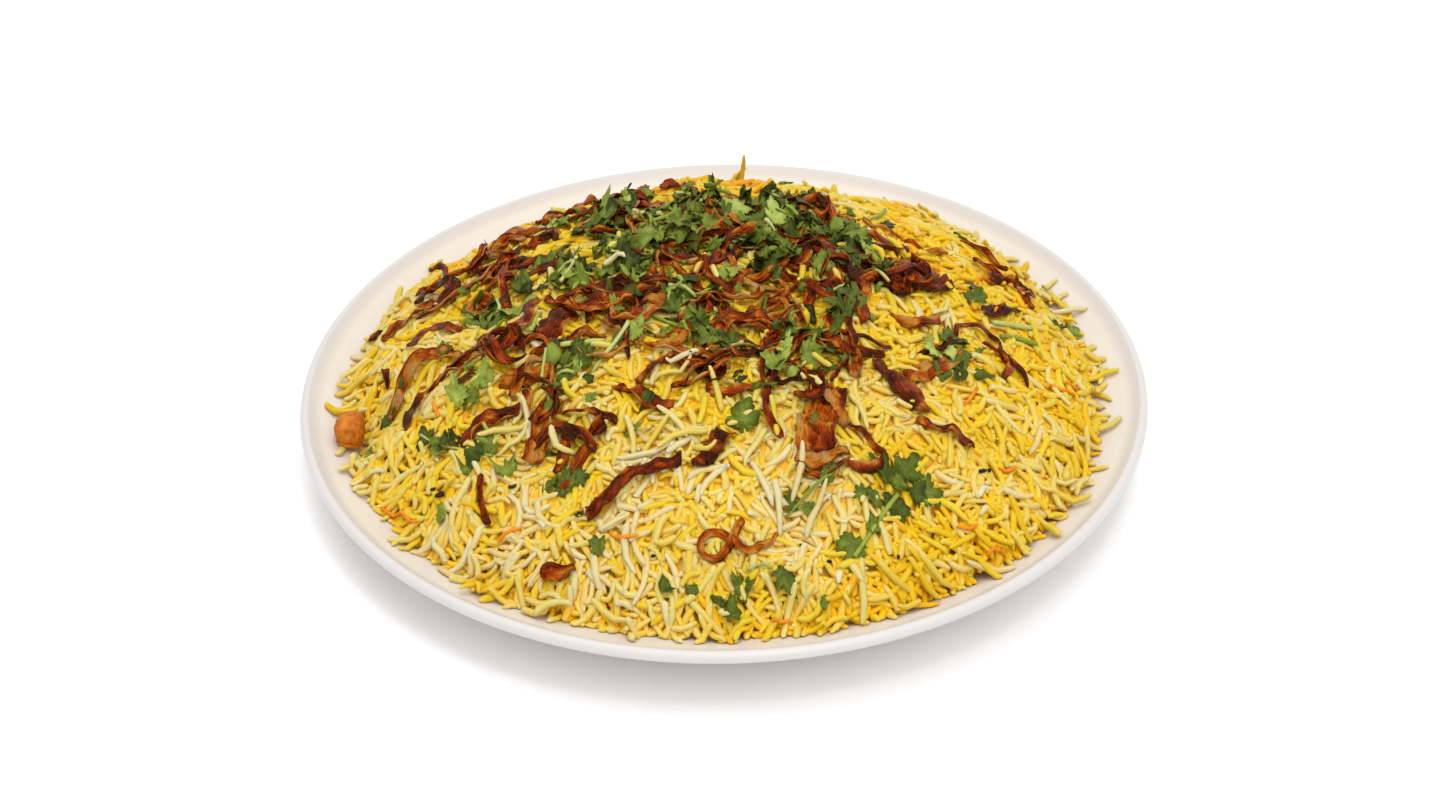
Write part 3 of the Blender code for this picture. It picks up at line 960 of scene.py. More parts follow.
def drop_grain(ground, grains, chance, x, y, sink, lift, press=0.0):
    """One grain of a random length and bend, laid at a spot."""
    sort = chance.random()
    lengths = BROKEN_GRAIN if sort < BROKEN_BELOW else LONG_GRAIN if sort > LONG_ABOVE else GRAIN_LENGTH
    lay_grain(
        ground,
        grains,
        x,
        y,
        turn=chance.uniform(0, math.tau),
        length=chance.uniform(*lengths),
        width=chance.uniform(*GRAIN_WIDTH),
        bend=chance.normal(0, GRAIN_BEND),
        curl=chance.normal(0, GRAIN_CURL),
        limp=chance.uniform(*GRAIN_LIMP),
        tip_up=chance.normal(0, lift) * (PERKY_LIFT if chance.random() < PERKY_SHARE else 1.0),
        sink=chance.uniform(*sink),
        press=press,
    )


def pour_rice(ground, grains, chance, tries, looks, level, sink, lift, press):
    """Drops each grain at the lowest of so many spots, if that is below the level over the heap."""
    want = ground.heap + level + ground.uneven
    for _ in range(tries):
        best = None
        for _ in range(looks):
            x, y = disc_spot(chance, POURED_R)
            i, j = ground.spot(x, y)
            lack = want[i, j] - ground.z[i, j]
            if best is None or lack > best[0]:
                best = (lack, x, y)
        if best[0] > 0:
            drop_grain(ground, grains, chance, best[1], best[2], sink, lift, press)


def cover_core(ground, grains, chance):
    """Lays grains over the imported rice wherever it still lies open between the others."""
    inside = np.hypot(ground.x, ground.y) < COVERED_R
    for _ in range(COVER_ROUNDS):
        open_share = (inside & (ground.z < ground.core + BARE)).astype(float)
        for axis in (0, 1, 0, 1, 0, 1):
            open_share = (np.roll(open_share, 1, axis) + open_share + np.roll(open_share, -1, axis)) / 3
        bare = np.argwhere(open_share > 0.5)
        for n in chance.permutation(len(bare))[:COVER_GRAINS]:
            i, j = bare[n]
            if ground.z[i, j] < ground.core[i, j] + BARE:
                x, y = ground.line[i], ground.line[j]
                drop_grain(ground, grains, chance, x, y, sink=(0.15, 0.4), lift=0.25, press=0.5)


def stray_rice(ground, grains, chance):
    """Grains around the heap's edge, which lie out on the plate or stick up from the rice."""
    for _ in range(STRAY_GRAINS):
        r = HEAP_R * chance.uniform(*STRAY_SHARE)
        x, y = polar(r, chance.uniform(0, math.tau))
        drop_grain(ground, grains, chance, x, y, sink=(0.0, 0.3), lift=1.3)


def scatter_over(ground, grains, chance):
    """A few grains that lie on top of the onions and the herbs."""
    for x, y, turn, length, bend, kind in FEATURE_GRAINS:
        turn = math.radians(turn)
        length *= FEATURE_SCALE
        lay_grain(ground, grains, x, y, turn, length, FEATURE_WIDTH, bend, curl=0.02, limp=0.9, kind=kind)
    for _ in range(OVER_GRAINS):
        x, y = disc_spot(chance, OVER_R)
        drop_grain(ground, grains, chance, x, y, sink=(0.0, 0.2), lift=0.5)


def patch_of(x, y):
    """Whiteness and depth of colour of the rice around a spot."""
    white, deep = 0.0, 0.0
    for px, py, reach, w, d in PATCHES:
        near = math.exp(-((x - px) ** 2 + (y - py) ** 2) / (2 * (reach * PATCH_SHARE) ** 2))
        white += w * near
        deep += d * near
    return white, deep


def sort_grains(ground, grains, chance):
    """Gives each grain one of the rice kinds, by where and how deep it lies, and by chance. Deeper grains
    take deeper kinds, which is painted golden shade in the gaps.
    """
    blotches = soft_noise(ground, chance, *BLOTCHES)
    painted_gap_gold = np.argsort(np.argsort(grains.depth)) / len(grains.depth)
    for n, (x, y) in enumerate(grains.middles):
        white, deep = patch_of(x, y)
        draw = chance.normal(0, KIND_SPREAD) + KIND_MIDDLE - PATCH_PULL * white + PATCH_PULL * deep
        # Deeper grains are pulled toward deeper kinds: painted golden shade in the gaps between grains.
        draw += GAP_GOLD_PULL * (painted_gap_gold[n] - 0.35)
        draw += blotches[ground.spot(x, y)]
        kind = int(np.clip(round(draw), 0, len(RICE_KINDS) - 1))
        if kind == 0 and white < WHITE_PATCH and chance.random() < IVORY_SHARE:
            kind = 1
        if grains.kind[n] is None:
            grains.kind[n] = kind
        grains.soak.append(chance.uniform(0, 1))
        grains.shade.append(chance.uniform(0.85, 1.0))


def grain_cells(count):
    """Texture places for the faces of many grains, each grain in its own square of the map."""
    across = math.ceil(math.sqrt(count))
    cell = 1.0 / across
    corner = np.stack([np.arange(count) % across, np.arange(count) // across], axis=1) * cell
    u = (U + 1) / 2 * 0.86 + 0.07
    v = np.linspace(0.06, 0.84, GRAIN_SIDES + 1)
    box = []
    for k in range(len(U) - 1):
        for m in range(GRAIN_SIDES):
            box.append([(u[k], v[m]), (u[k], v[m + 1]), (u[k + 1], v[m + 1]), (u[k + 1], v[m])])
    sides = corner[:, None, None] + np.array(box)[None] * cell
    angle = np.arange(GRAIN_SIDES) / GRAIN_SIDES * math.tau
    disc = np.stack([np.cos(angle), np.sin(angle)], axis=1) * 0.045
    low = corner[:, None] + (disc[::-1] + (0.2, 0.92)) * cell
    high = corner[:, None] + (disc + (0.8, 0.92)) * cell
    return np.concatenate([sides.reshape(-1, 2), low.reshape(-1, 2), high.reshape(-1, 2)])


def grain_faces(count):
    """Faces of many grains: the sides of each, then all the first ends, then all the second ends."""
    per = len(U) * GRAIN_SIDES
    ring = np.arange(GRAIN_SIDES)
    nxt = (ring + 1) % GRAIN_SIDES
    base = (np.arange(len(U) - 1) * GRAIN_SIDES)[:, None]
    above = base + GRAIN_SIDES
    quads = np.stack([base + ring, base + nxt, above + nxt, above + ring], axis=2).reshape(-1, 4)
    starts = np.arange(count) * per
    quads = (quads[None] + starts[:, None, None]).reshape(-1, 4)
    low_caps = ring[::-1][None] + starts[:, None]
    high_caps = (ring + per - GRAIN_SIDES)[None] + starts[:, None]
    return quads.tolist() + low_caps.tolist() + high_caps.tolist()


def grain_mesh(ground, lines, widths, soak, shade, chance):
    """Points and marks of many grains at once. Each is a little lumpy, flat and thinner to one end."""
    count = len(lines)
    lines = np.array(lines)
    ways = np.gradient(lines, axis=1)
    ways /= np.linalg.norm(ways, axis=2, keepdims=True)
    side = np.cross((0.0, 0.0, 1.0), ways)
    side /= np.linalg.norm(side, axis=2, keepdims=True) + 1e-9
    top = np.cross(ways, side)
    taper = np.sqrt(np.maximum(1 - np.abs(U) ** 10, 0.0)) * (1 - 0.12 * U**2)
    taper[[0, -1]] = GRAIN_END
    lumps = 1 + 0.05 * chance.normal(0, 1, (count, len(U)))
    skew = 1 + 0.14 * chance.normal(0, 1, (count, 1)) * U
    radius = np.array(widths)[:, None] / 2 * taper * lumps * np.clip(skew, 0.7, 1.3)
    angle = np.arange(GRAIN_SIDES) / GRAIN_SIDES * math.tau
    flat = chance.uniform(0.68, 0.9, (count, 1, 1, 1))
    out = np.cos(angle)[:, None] * side[:, :, None, :] + flat * np.sin(angle)[:, None] * top[:, :, None, :]
    points = lines[:, :, None, :] + radius[:, :, None, None] * out
    soaked = np.clip(np.array(soak)[:, None] + chance.normal(0, 0.45, (count, 1)) * U, 0, 1)
    below = ground.rice_top[ground.spot(points[..., 0], points[..., 1])] - points[..., 2]
    marks = {
        "soak": np.repeat(soaked, GRAIN_SIDES, axis=1).ravel(),
        "shade": np.repeat(np.array(shade), len(U) * GRAIN_SIDES),
        "tip": np.tile(np.repeat(np.abs(U), GRAIN_SIDES), count),
        # How far each point lies below the rice's top, which sets its painted golden light of the gaps
        "painted_gap_gold": np.clip(below / GAP_GOLD_DEPTH, 0, 1).ravel(),
    }
    return points.reshape(-1, 3), marks


def seen_grains(ground, grains):
    """The grains that show at the top of the heap or come near it."""
    keep = []
    for n, line in enumerate(grains.lines):
        over = line[:, 2] + grains.widths[n] * 0.4 - ground.at(line[:, 0], line[:, 1])
        if over.max() > SEEN_ABOVE:
            keep.append(n)
    return keep


def make_rice(ground, grains, chance):
    """One piece of loose grains for each kind of rice."""
    keep = seen_grains(ground, grains)
    for kind, (name, *colours) in enumerate(RICE_KINDS):
        mine = [n for n in keep if grains.kind[n] == kind]
        lists = (grains.lines, grains.widths, grains.soak, grains.shade)
        points, marks = grain_mesh(ground, *([values[n] for n in mine] for values in lists), chance)
        faces, cells = grain_faces(len(mine)), grain_cells(len(mine))
        make_piece(name, points, faces, rice_finish(name, *colours), marks, cells)


def make_core(ground):
    """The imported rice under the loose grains, closed below against the plate."""
    angles = np.arange(CORE_STEPS) / CORE_STEPS * math.tau
    shares = (np.arange(1, CORE_RINGS + 1) / CORE_RINGS) ** 0.9
    points = [(0.0, 0.0, ground.core[ground.spot(0, 0)])]
    for rings, heights, drop in ((shares, ground.core, 0.0), (shares[::-6], ground.plate, 0.8)):
        for share in rings:
            for a in angles:
                x, y = polar(CORE_R * share, a)
                points.append((x, y, heights[ground.spot(x, y)] - drop))
    points.append((0.0, 0.0, 3.0))
    last = len(points) - 1
    outer = last - CORE_STEPS
    pairs = [(i, (i + 1) % CORE_STEPS) for i in range(CORE_STEPS)]
    faces = [(0, 1 + i, 1 + j) for i, j in pairs]
    for k in range(1, outer, CORE_STEPS):
        faces += [(k + i, k + CORE_STEPS + i, k + CORE_STEPS + j, k + j) for i, j in pairs]
    faces += [(outer + j, outer + i, last) for i, j in pairs]
    # The core shows only in the gaps between grains; its bright golden colour is painted warm light there.
    finish = plain_finish("packed_rice_painted_glow", "#eeb020", "#f4c848", 0.6, 180.0, 0.0008)
    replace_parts(make_piece("rice_core", points, faces, finish), "rice_heap")


def smooth_route(points, count):
    """Places at even steps along a curve through the points, its directions there, and its length."""
    points = np.array(points, float)
    points = np.array([2 * points[0] - points[1], *points, 2 * points[-1] - points[-2]])
    fine = []
    for a, b, c, d in zip(points, points[1:], points[2:], points[3:]):
        for t in np.linspace(0, 1, 24, endpoint=False):
            bend = (a - 2.5 * b + 2 * c - d / 2) * t**2
            fine.append(b + (c - a) * t / 2 + bend + (1.5 * (b - c) + (d - a) / 2) * t**3)
    fine = np.array([*fine, points[-2]])
    along = np.concatenate([[0], np.cumsum(np.linalg.norm(np.diff(fine, axis=0), axis=1))])
    at = np.linspace(0, along[-1], count)
    places = np.stack([np.interp(at, along, fine[:, i]) for i in (0, 1)], axis=1)
    ways = np.gradient(places, axis=0)
    return places, ways / np.linalg.norm(ways, axis=1, keepdims=True), along[-1]


def smoothed(values, times):
    """The values with each one blended into its neighbours, so many times over."""
    values = np.array(values, float)
    for _ in range(times):
        values[1:-1] = (values[:-2] + 2 * values[1:-1] + values[2:]) / 4
    return values


def shell_faces(count, lanes):
    """Faces of a thin closed strip of two layers, each of count rows and lanes points a row."""
    under = count * lanes
    faces = []
    for i in range(count - 1):
        for j in range(lanes - 1):
            a, b, c, d = i * lanes + j, (i + 1) * lanes + j, (i + 1) * lanes + j + 1, i * lanes + j + 1
            faces.append((a, b, c, d))
            faces.append((under + d, under + c, under + b, under + a))
        a, b = i * lanes, (i + 1) * lanes
        faces.append((b, a, under + a, under + b))
        a, b = i * lanes + lanes - 1, (i + 1) * lanes + lanes - 1
        faces.append((a, b, under + b, under + a))
    for j in range(lanes - 1):
        a, b = j, j + 1
        faces.append((a, b, under + b, under + a))
        a, b = (count - 1) * lanes + j, (count - 1) * lanes + j + 1
        faces.append((b, a, under + a, under + b))
    return faces


def wander(chance, share, length, reach, shortest, longest):
    """A smooth wavering along a strip, from two sines of random lengths and phases."""
    made = np.zeros_like(share)
    for part in (0.65, 0.45):
        wave = chance.uniform(shortest, longest) * (1.0 if part > 0.5 else 0.55)
        made += part * np.sin(share * length / wave * math.tau + chance.uniform(0, math.tau))
    return reach * made


def onion_strip(width, arch, tone, route, ground, chance, step=0.65, twist=1.0, stands=0.0):
    """One strip of fried onion on what lies below: a thin ribbon, twisted, curled across and crinkled."""
    length = smooth_route(route, 2)[2]
    count = max(9, int(length / step) + 1)
    lanes = max(4, round(width * 0.9) + 2)
    places, ways, _ = smooth_route(route, count)
    share = np.linspace(0, 1, count)
    v = np.linspace(-1, 1, lanes)

    # Outline: uneven edges, one end pointed, and both cut at a slant
    blunt = chance.uniform(8.0, 24.0)
    ends = np.maximum(1 - np.abs(2 * share - 1) ** blunt, 0.0) ** 0.5
    swell = smoothed(chance.normal(0, 1, (count, 2)), 3)
    point = chance.uniform(0.0, 0.6) * (share if chance.random() < 0.5 else share[::-1]) ** 2
    half = width / 2 * (0.45 + 0.55 * ends) * (1 - twist * point)
    slant = chance.normal(0, 0.35, 2) * twist
    skew = np.where(share < 0.5, slant[0], slant[1]) * np.abs(2 * share - 1) ** 8 * half
    reach = half[:, None] * np.where(v[None] < 0, 1 + 0.2 * swell[:, :1], 1 + 0.2 * swell[:, 1:]) * v[None]

    # The twist, and how far the strip curls across
    roll = wander(chance, share, length, twist * np.clip(1.3 - 0.15 * width, 0.1, 1.0), 14.0, 32.0)
    side = np.column_stack([-ways[:, 1] * np.cos(roll), ways[:, 0] * np.cos(roll), np.sin(roll)])
    face = np.column_stack([ways[:, 1] * np.sin(roll), -ways[:, 0] * np.sin(roll), np.cos(roll)])
    cup = twist * chance.uniform(0.6, 1.5) * (1 if chance.random() < 0.7 else -0.7) / max(1.0, width / 6.5)
    squeeze = 1 - 0.16 * abs(cup)
    off = places[:, None] + side[:, None, :2] * (reach * squeeze)[:, :, None]
    off += ways[:, None] * (skew[:, None] * v[None])[:, :, None]

    # Height: smoother than the ground below, arched and buckled
    below = ground.at(off[..., 0], off[..., 1])
    times = max(4, count * 2 // 3)
    bed = np.percentile(below, 65, axis=1)
    low = smoothed(bed, times)
    low += 0.6 * max(0.0, float(np.percentile(bed - low, 75)))
    buckle = wander(chance, share, length, 0.7, 8.0, 16.0)
    high = low + 0.3 * half * np.abs(np.sin(roll)) + arch * np.sin(math.pi * share) * 0.6 + buckle + 0.55
    high += stands * share**2
    lean = smoothed(np.clip((below * v[None]).sum(axis=1) / (v**2).sum(), -width * 0.3, width * 0.3), times)

    # Relief across it: ridges, blisters and crinkles
    ridges = max(2, min(4, round(width / 2.2)))
    drift = (0.6 + 0.08 * width) * np.sin(share[:, None] * chance.uniform(3, 9) + chance.uniform(0, 6))
    first = np.sin(v[None] * ridges * 1.9 + chance.uniform(0, 6) + drift)
    second = np.sin(v[None] * ridges * 0.8 + chance.uniform(0, 6) - 2.1 * drift)
    ridge = (0.08 + 0.03 * width) * (0.5 * first + 0.6 * second)
    blisters = smoothed(smoothed(chance.normal(0, 1, (count, lanes)), 3).T, 2).T
    crinkle = smoothed(chance.normal(0, 1, (count, 1)), 4) * 0.3 + blisters * (0.2 + 0.14 * width) * twist
    rise = 0.5 * cup * half[:, None] * (v[None] ** 2 - 0.35) + ridge + crinkle
    centre = np.column_stack([places, high])
    sheet = centre[:, None] + side[:, None] * (reach * squeeze)[:, :, None]
    sheet += face[:, None] * rise[:, :, None]
    sheet[..., :2] += ways[:, None] * (skew[:, None] * v[None])[:, :, None]
    sheet[..., 2] += lean[:, None] * v[None] * np.cos(roll)[:, None]

    # Two layers, which thin out to the edges and the ends
    stout = 0.4 + max(0.25, 1.0 - 0.16 * width) * (1 - v**2)
    thick = stout[None] * (0.5 + 0.5 * ends)[:, None]
    upper = (sheet + face[:, None] * thick[:, :, None] / 2).reshape(-1, 3)
    lower = (sheet - face[:, None] * thick[:, :, None] / 2).reshape(-1, 3)
    for layer in (upper, lower):
        ground.raise_to(layer[:, 0], layer[:, 1], layer[:, 2])

    # Darker at one edge and the ends, streaked along, and lighter where ridges and blisters stand up: painted
    # light and shade following the relief
    dark_side = v[None] * (1 if chance.random() < 0.5 else -1)
    edge = np.maximum(np.maximum(dark_side, 0.4 * -dark_side) ** 2, (np.abs(2 * share - 1) ** 6)[:, None])
    streak = 0.08 * chance.normal(0, 1, lanes)[None] - (0.1 + 0.02 * width) * dark_side**3
    mottle = smoothed(chance.normal(0, 1, count), 3)[:, None] * 0.16
    # ridge and blisters lift the tone where the strip stands up and lower it in the hollows: painted light
    # and shade
    tones = tone + mottle + streak + ridge * 0.25 + blisters * 0.5
    start = chance.uniform(0, 500)
    marks = {
        "edge": np.tile(edge.ravel(), 2),
        "tone": np.tile(np.clip(tones, 0, 1).ravel(), 2),
        "across": np.tile((start + reach).ravel(), 2),
        "along": np.tile(np.repeat(start + share * length, lanes), 2),
    }
    return np.concatenate([upper, lower]), shell_faces(count, lanes), marks


def lay_onions(ground, finish):
    """The strips of fried onion, in place of those in the CAD."""
    for number, (width, arch, tone, route) in enumerate(ONIONS, start=1):
        chance = np.random.default_rng(ONION_SEED + number)
        twist = LOOP_TWIST if route is LOOP_ROUTE else 1.0
        stands = STANDING_RISE if route is STANDING_ROUTE else 0.0
        points, faces, marks = onion_strip(
            width, arch, tone, route, ground, chance, twist=twist, stands=stands
        )
        piece = make_piece(f"fried_onion_{number:02d}", points, faces, finish, marks)
        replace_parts(piece, f"onion_{number:02d}")


def lay_shreds(ground, finish, chance):
    """Smaller curled shreds of onion between the strips."""
    shreds = Heaped()
    for width, arch, tone, route in PLACED_SHREDS:
        points, faces, marks = onion_strip(width, arch, tone, route, ground, chance, twist=0.5)
        shreds.put(points, faces, **marks)
    for x, y, reach, count in SHREDS:
        for _ in range(round(count * SHREDS_SHARE)):
            place = np.array((x, y)) + chance.normal(0, reach * SPREAD, 2)
            length = chance.uniform(13, 34)
            turn = chance.uniform(0, math.tau)
            swing = chance.normal(0, 0.8)
            route = [place]
            for _ in range(4):
                place = route[-1] + np.array(polar(1.0, turn)) * length / 4
                route.append(place * min(1.0, SHREDS_END_R / np.linalg.norm(place)))
                turn += swing + chance.normal(0, 0.3)
            width = 1.7 + 3.6 * chance.random() ** 1.3
            tone = np.clip(chance.normal(0.42, 0.22), 0.0, 0.85)
            arch = chance.uniform(0.3, 3.0)
            points, faces, marks = onion_strip(width, arch, tone, route, ground, chance, step=0.95)
            shreds.put(points, faces, **marks)
    shreds.make("onion_shreds", "onion", finish)


def leaf_outline(size, lobes, chance):
    """The edge of a lobed leaflet around its middle: directions from the middle, and distances."""
    count = 52 if size > 6.5 else 32
    turn = np.linspace(-math.pi, math.pi, count, endpoint=False)
    reach = np.full(count, 0.24)
    for middle, height, width in lobes:
        off = np.abs(np.remainder(turn - middle - chance.normal(0, 0.06) + math.pi, math.tau) - math.pi)
        lobe = np.maximum(np.cos(np.minimum(off / width, 1.0) * math.pi / 2), 0.0) ** 0.55
        reach = np.maximum(reach, 0.56 * height * chance.uniform(0.85, 1.1) * lobe)
    scallop = np.abs(np.sin(turn * 6.5 + chance.uniform(0, 6))) ** 0.6
    return turn, size * reach * (0.76 + 0.26 * scallop) * (1 + 0.04 * chance.normal(0, 1, count))


def shard_outline(size, chance):
    """The edge of a chopped scrap of leaf: a jagged side and a cut side."""
    count = 11
    turn = np.linspace(-math.pi, math.pi, count, endpoint=False) + chance.normal(0, 0.08, count)
    long = chance.uniform(1.0, 2.2)
    reach = size / 2 / np.sqrt((np.cos(turn) / long) ** 2 + np.sin(turn) ** 2) / math.sqrt(long)
    cut = chance.uniform(0.45, 0.9) * size / 2
    jag = 1 + 0.24 * chance.normal(0, 1, count)
    reach = np.maximum(reach * jag, size * 0.12)
    down = np.maximum(-np.sin(turn), 1e-6)
    return turn, np.where(np.sin(turn) < -0.1, np.minimum(reach, cut / down), reach)


def leaf_shape(turn, reach, size, fold, curl, ripple, chance):
    """Points and faces of a thin closed leaf around its middle, lying roughly flat. The tip is along +X."""
    count = len(turn)
    flat = [(0.0, 0.0, 0.0)]
    phase = chance.uniform(0, 6)
    for part in (0.5, 1.0):
        x = reach * part * np.cos(turn)
        y = reach * part * np.sin(turn)
        z = fold * np.abs(y) + curl * (x**2 + 0.4 * y**2) / size
        z += ripple * part**2 * np.sin(turn * 5 + phase) * size * 0.1
        flat += list(zip(x, y, z))
    flat = np.array(flat)
    points = np.concatenate([flat + (0, 0, LEAF_THICKNESS / 2), flat - (0, 0, LEAF_THICKNESS / 2)])
    under = len(flat)
    faces = []
    for i in range(count):
        j = (i + 1) % count
        a, b, c, d = 1 + i, 1 + j, 1 + count + i, 1 + count + j
        faces += [(0, a, b), (a, c, d, b)]
        faces += [(under, under + b, under + a), (under + a, under + b, under + d, under + c)]
        faces.append((c, under + c, under + d, d))
    return points, faces, under


def lay_leaf(heap, ground, x, y, way, outline, size, tone, chance, tilt):
    """Lays a leaf on the ground, leaning as the ground does and a little more."""
    fold = chance.uniform(-0.6, 1.1)
    curl = chance.normal(0, 0.7) / max(size, 4) * 4
    points, faces, under = leaf_shape(*outline, size, fold, curl, chance.uniform(0.2, 0.8), chance)
    slopes = ground.lean(x, y, size * 0.35) + chance.normal(0, tilt, 2)
    gx, gy = np.clip(slopes, -STEEPEST_LEAF, STEEPEST_LEAF)
    squash = 1 / math.sqrt(1 + gx**2 + gy**2)
    across, along = turned(points[:, 0], points[:, 1], way)
    px, py = x + across * squash**0.5, y + along * squash**0.5
    pz = points[:, 2] + gx * across + gy * along
    below = ground.at(px[:under], py[:under])
    lift = np.percentile(below - pz[:under], 78)
    pz = pz + lift + 0.15
    tones = np.clip(tone + chance.normal(0, 0.05, len(points)), 0, 1)
    heap.put(np.stack([px, py, pz], axis=1), faces, tone=tones)
    for part in (0.0, 0.35, 0.7, 1.0):
        ground.raise_to(
            px[0] + (px[:under] - px[0]) * part,
            py[0] + (py[:under] - py[0]) * part,
            pz[0] + (pz[:under] - pz[0]) * part + 0.3,
        )


def tube(line, widths):
    """Points and faces of a closed round tube along a line."""
    sides = TUBE_SIDES
    ways = np.gradient(line, axis=0)
    ways /= np.linalg.norm(ways, axis=1, keepdims=True)
    side = np.cross((0.0, 0.0, 1.0), ways)
    side /= np.linalg.norm(side, axis=1, keepdims=True) + 1e-9
    top = np.cross(ways, side)
    angle = np.arange(sides) / sides * math.tau
    ring = np.cos(angle)[:, None] * side[:, None] + np.sin(angle)[:, None] * top[:, None]
    points = (line[:, None] + ring * np.asarray(widths)[:, None, None] / 2).reshape(-1, 3)
    faces = []
    for k in range(len(line) - 1):
        for i in range(sides):
            j = (i + 1) % sides
            faces.append((k * sides + i, k * sides + j, (k + 1) * sides + j, (k + 1) * sides + i))
    faces.append(tuple(range(sides))[::-1])
    faces.append(tuple(range((len(line) - 1) * sides, len(line) * sides)))
    return points, faces


def lay_stem(stems, ground, width, route, tone, chance):
    """A cut stem along a route, stiffer than the ground below it."""
    places = smooth_route(route, 9)[0]
    below = ground.at(places[:, 0], places[:, 1])
    z = smoothed(below, 6)
    z += max(0.0, float(np.percentile(below - z, 70))) + width * 0.45
    widths = width * (1 + 0.12 * chance.normal(0, 1, len(z)))
    points, faces = tube(np.column_stack([places, z]), widths)
    stems.put(points, faces, tone=tone)
    ground.raise_to(places[:, 0], places[:, 1], z + width / 2)


def lay_herbs(ground, chance):
    """Coriander: the placed stems, then what lies in gatherings, then the placed leaves."""
    leaves, chopped, stems = Heaped(), Heaped(), Heaped()
    for width, route in STEMS:
        lay_stem(stems, ground, width, route, chance.uniform(0.2, 0.9), chance)
    spots = []
    for x, y, reach, count in CHOPPED:
        for _ in range(count):
            spots.append(np.array((x, y)) + chance.normal(0, reach * SPREAD, 2))
    chance.shuffle(spots)
    for n, (x, y) in enumerate(spots):
        if math.hypot(x, y) > HERBS_R:
            continue
        if n % STEM_EVERY == 0:
            step = np.array(polar(1.0, chance.uniform(0, math.tau))) * chance.uniform(2.0, 5.0)
            middle = np.array((x, y))
            route = (middle - step, middle + chance.normal(0, 0.8, 2), middle + step)
            lay_stem(stems, ground, chance.uniform(0.7, 1.5), route, chance.uniform(0, 1), chance)
            continue
        size = chance.uniform(2.6, 6.0)
        tone = np.clip(chance.normal(0.42, 0.24), 0, 1)
        if n % 5 < 2:  # two in five are small whole leaves
            heap, tilt, size = leaves, 0.35, size * 1.8
            outline = leaf_outline(size, BROAD_LOBES if n % 5 else LOBES, chance)
        else:
            heap, tilt = chopped, 0.45
            outline = shard_outline(size, chance)
        lay_leaf(heap, ground, x, y, chance.uniform(0, math.tau), outline, size, tone, chance, tilt)
    for x, y, way, size, tone in LEAVES:
        outline = leaf_outline(size, BROAD_LOBES if chance.random() < 0.3 else LOBES, chance)
        lay_leaf(leaves, ground, x, y, math.radians(way), outline, size, tone, chance, 0.15)
    leaves.make("coriander_leaves", None, herb_finish("coriander_leaf", *LEAF_COLOURS))
    chopped.make("coriander_chopped", None, herb_finish("coriander_scrap", *LEAF_COLOURS))
    stems.make("coriander_stems", None, herb_finish("coriander_stem", *STEM_COLOURS))


def unit_ball(subdivisions):
    """Points and faces of a ball that measures 1 across."""
    shape = bmesh.new()
    bmesh.ops.create_icosphere(shape, subdivisions=subdivisions, radius=0.5)
    points = np.array([vertex.co for vertex in shape.verts])
    faces = [tuple(vertex.index for vertex in face.verts) for face in shape.faces]
    shape.free()
    return points, faces


def lay_specks(ground, chance):
    """Dark seeds and burnt crumbs."""
    specks = Heaped()
    ball, faces = unit_ball(2)
    for x, y, size in SPECKS:
        rough = 1 + 0.18 * chance.normal(0, 1, (len(ball), 1))
        body = ball * rough * np.array((size * 1.2, size * 0.7, size * 0.6))
        across, along = turned(body[:, 0], body[:, 1], chance.uniform(0, math.tau))
        specks.put(np.column_stack([x + across, y + along, body[:, 2] + ground.at(x, y) + 0.1]), faces)
    specks.make("dark_specks", "onion", plain_finish("burnt_crumb", "#0f0a05", "#2a1a0c", 0.5))


def lay_orange(ground, chance):
    """Thin strands dyed deep orange."""
    strands = Heaped()
    for x, y, turn, length in ORANGE_STRANDS:
        line = rest_line(ground, x, y, math.radians(turn), length, chance.normal(0, 0.08), 0.05, 0.9)
        line[:, 2] += 0.45
        strands.put(*tube(line, STRAND_WIDTH * np.sqrt(1 - 0.9 * np.abs(U) ** 4)))
        ground.raise_to(line[:, 0], line[:, 1], line[:, 2] + 0.5)
    strands.make("orange_strands", "rice", plain_finish("orange_strand", "#d8700a", "#e29212", 0.5))


def make_cashew(ground):
    """The browned nut against the heap's left edge, with a crease along it and darker blisters."""
    corners = np.array([vertex.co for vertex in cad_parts["cashew"].data.vertices]) / MM
    low, high = corners.min(axis=0), corners.max(axis=0)
    ball, faces = unit_ball(5)
    points = []
    for co in map(Vector, ball):
        lump = 1 + 0.12 * noise.noise(co * 3.1) + 0.06 * noise.noise(co * 8.0)
        lump += 0.03 * noise.noise(co * 19.0)
        crease = 1 - 0.14 * math.exp(-(((co.z + 0.13 + 0.3 * co.x) / 0.06) ** 2))
        blocky = Vector([math.copysign(abs(2 * c) ** 0.62, c) for c in co])
        points.append(blocky * lump * crease)
    points = np.array(points)
    points = (points - points.min(axis=0)) / (points.max(axis=0) - points.min(axis=0))
    points = low + points * (high - low)
    made, shader, dye = new_finish("fried_nut", Specular_IOR_Level=0.15)
    drive(
        shader,
        Base_Color=(dye.grain(330.0) * 1.3 - 0.15).held().ladder(*NUT_COLOURS),
        Roughness=dye.grain(600.0) * 0.25 + 0.3,
        Normal=dye.bump(dye.grain(1200.0), 0.0005, 0.8),
    )
    piece = make_piece("fried_cashew", points, faces, made)
    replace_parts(piece, "cashew")
    ground.raise_to(points[:, 0], points[:, 1], points[:, 2])


def plate_floor(r):
    """Height of the plate's upper surface at a radius."""
    out = max(0.0, (r - BASE_R) / (WALL_END_R - BASE_R))
    return BASE_FLOOR_Z + WALL_RISE * out**WALL_POWER


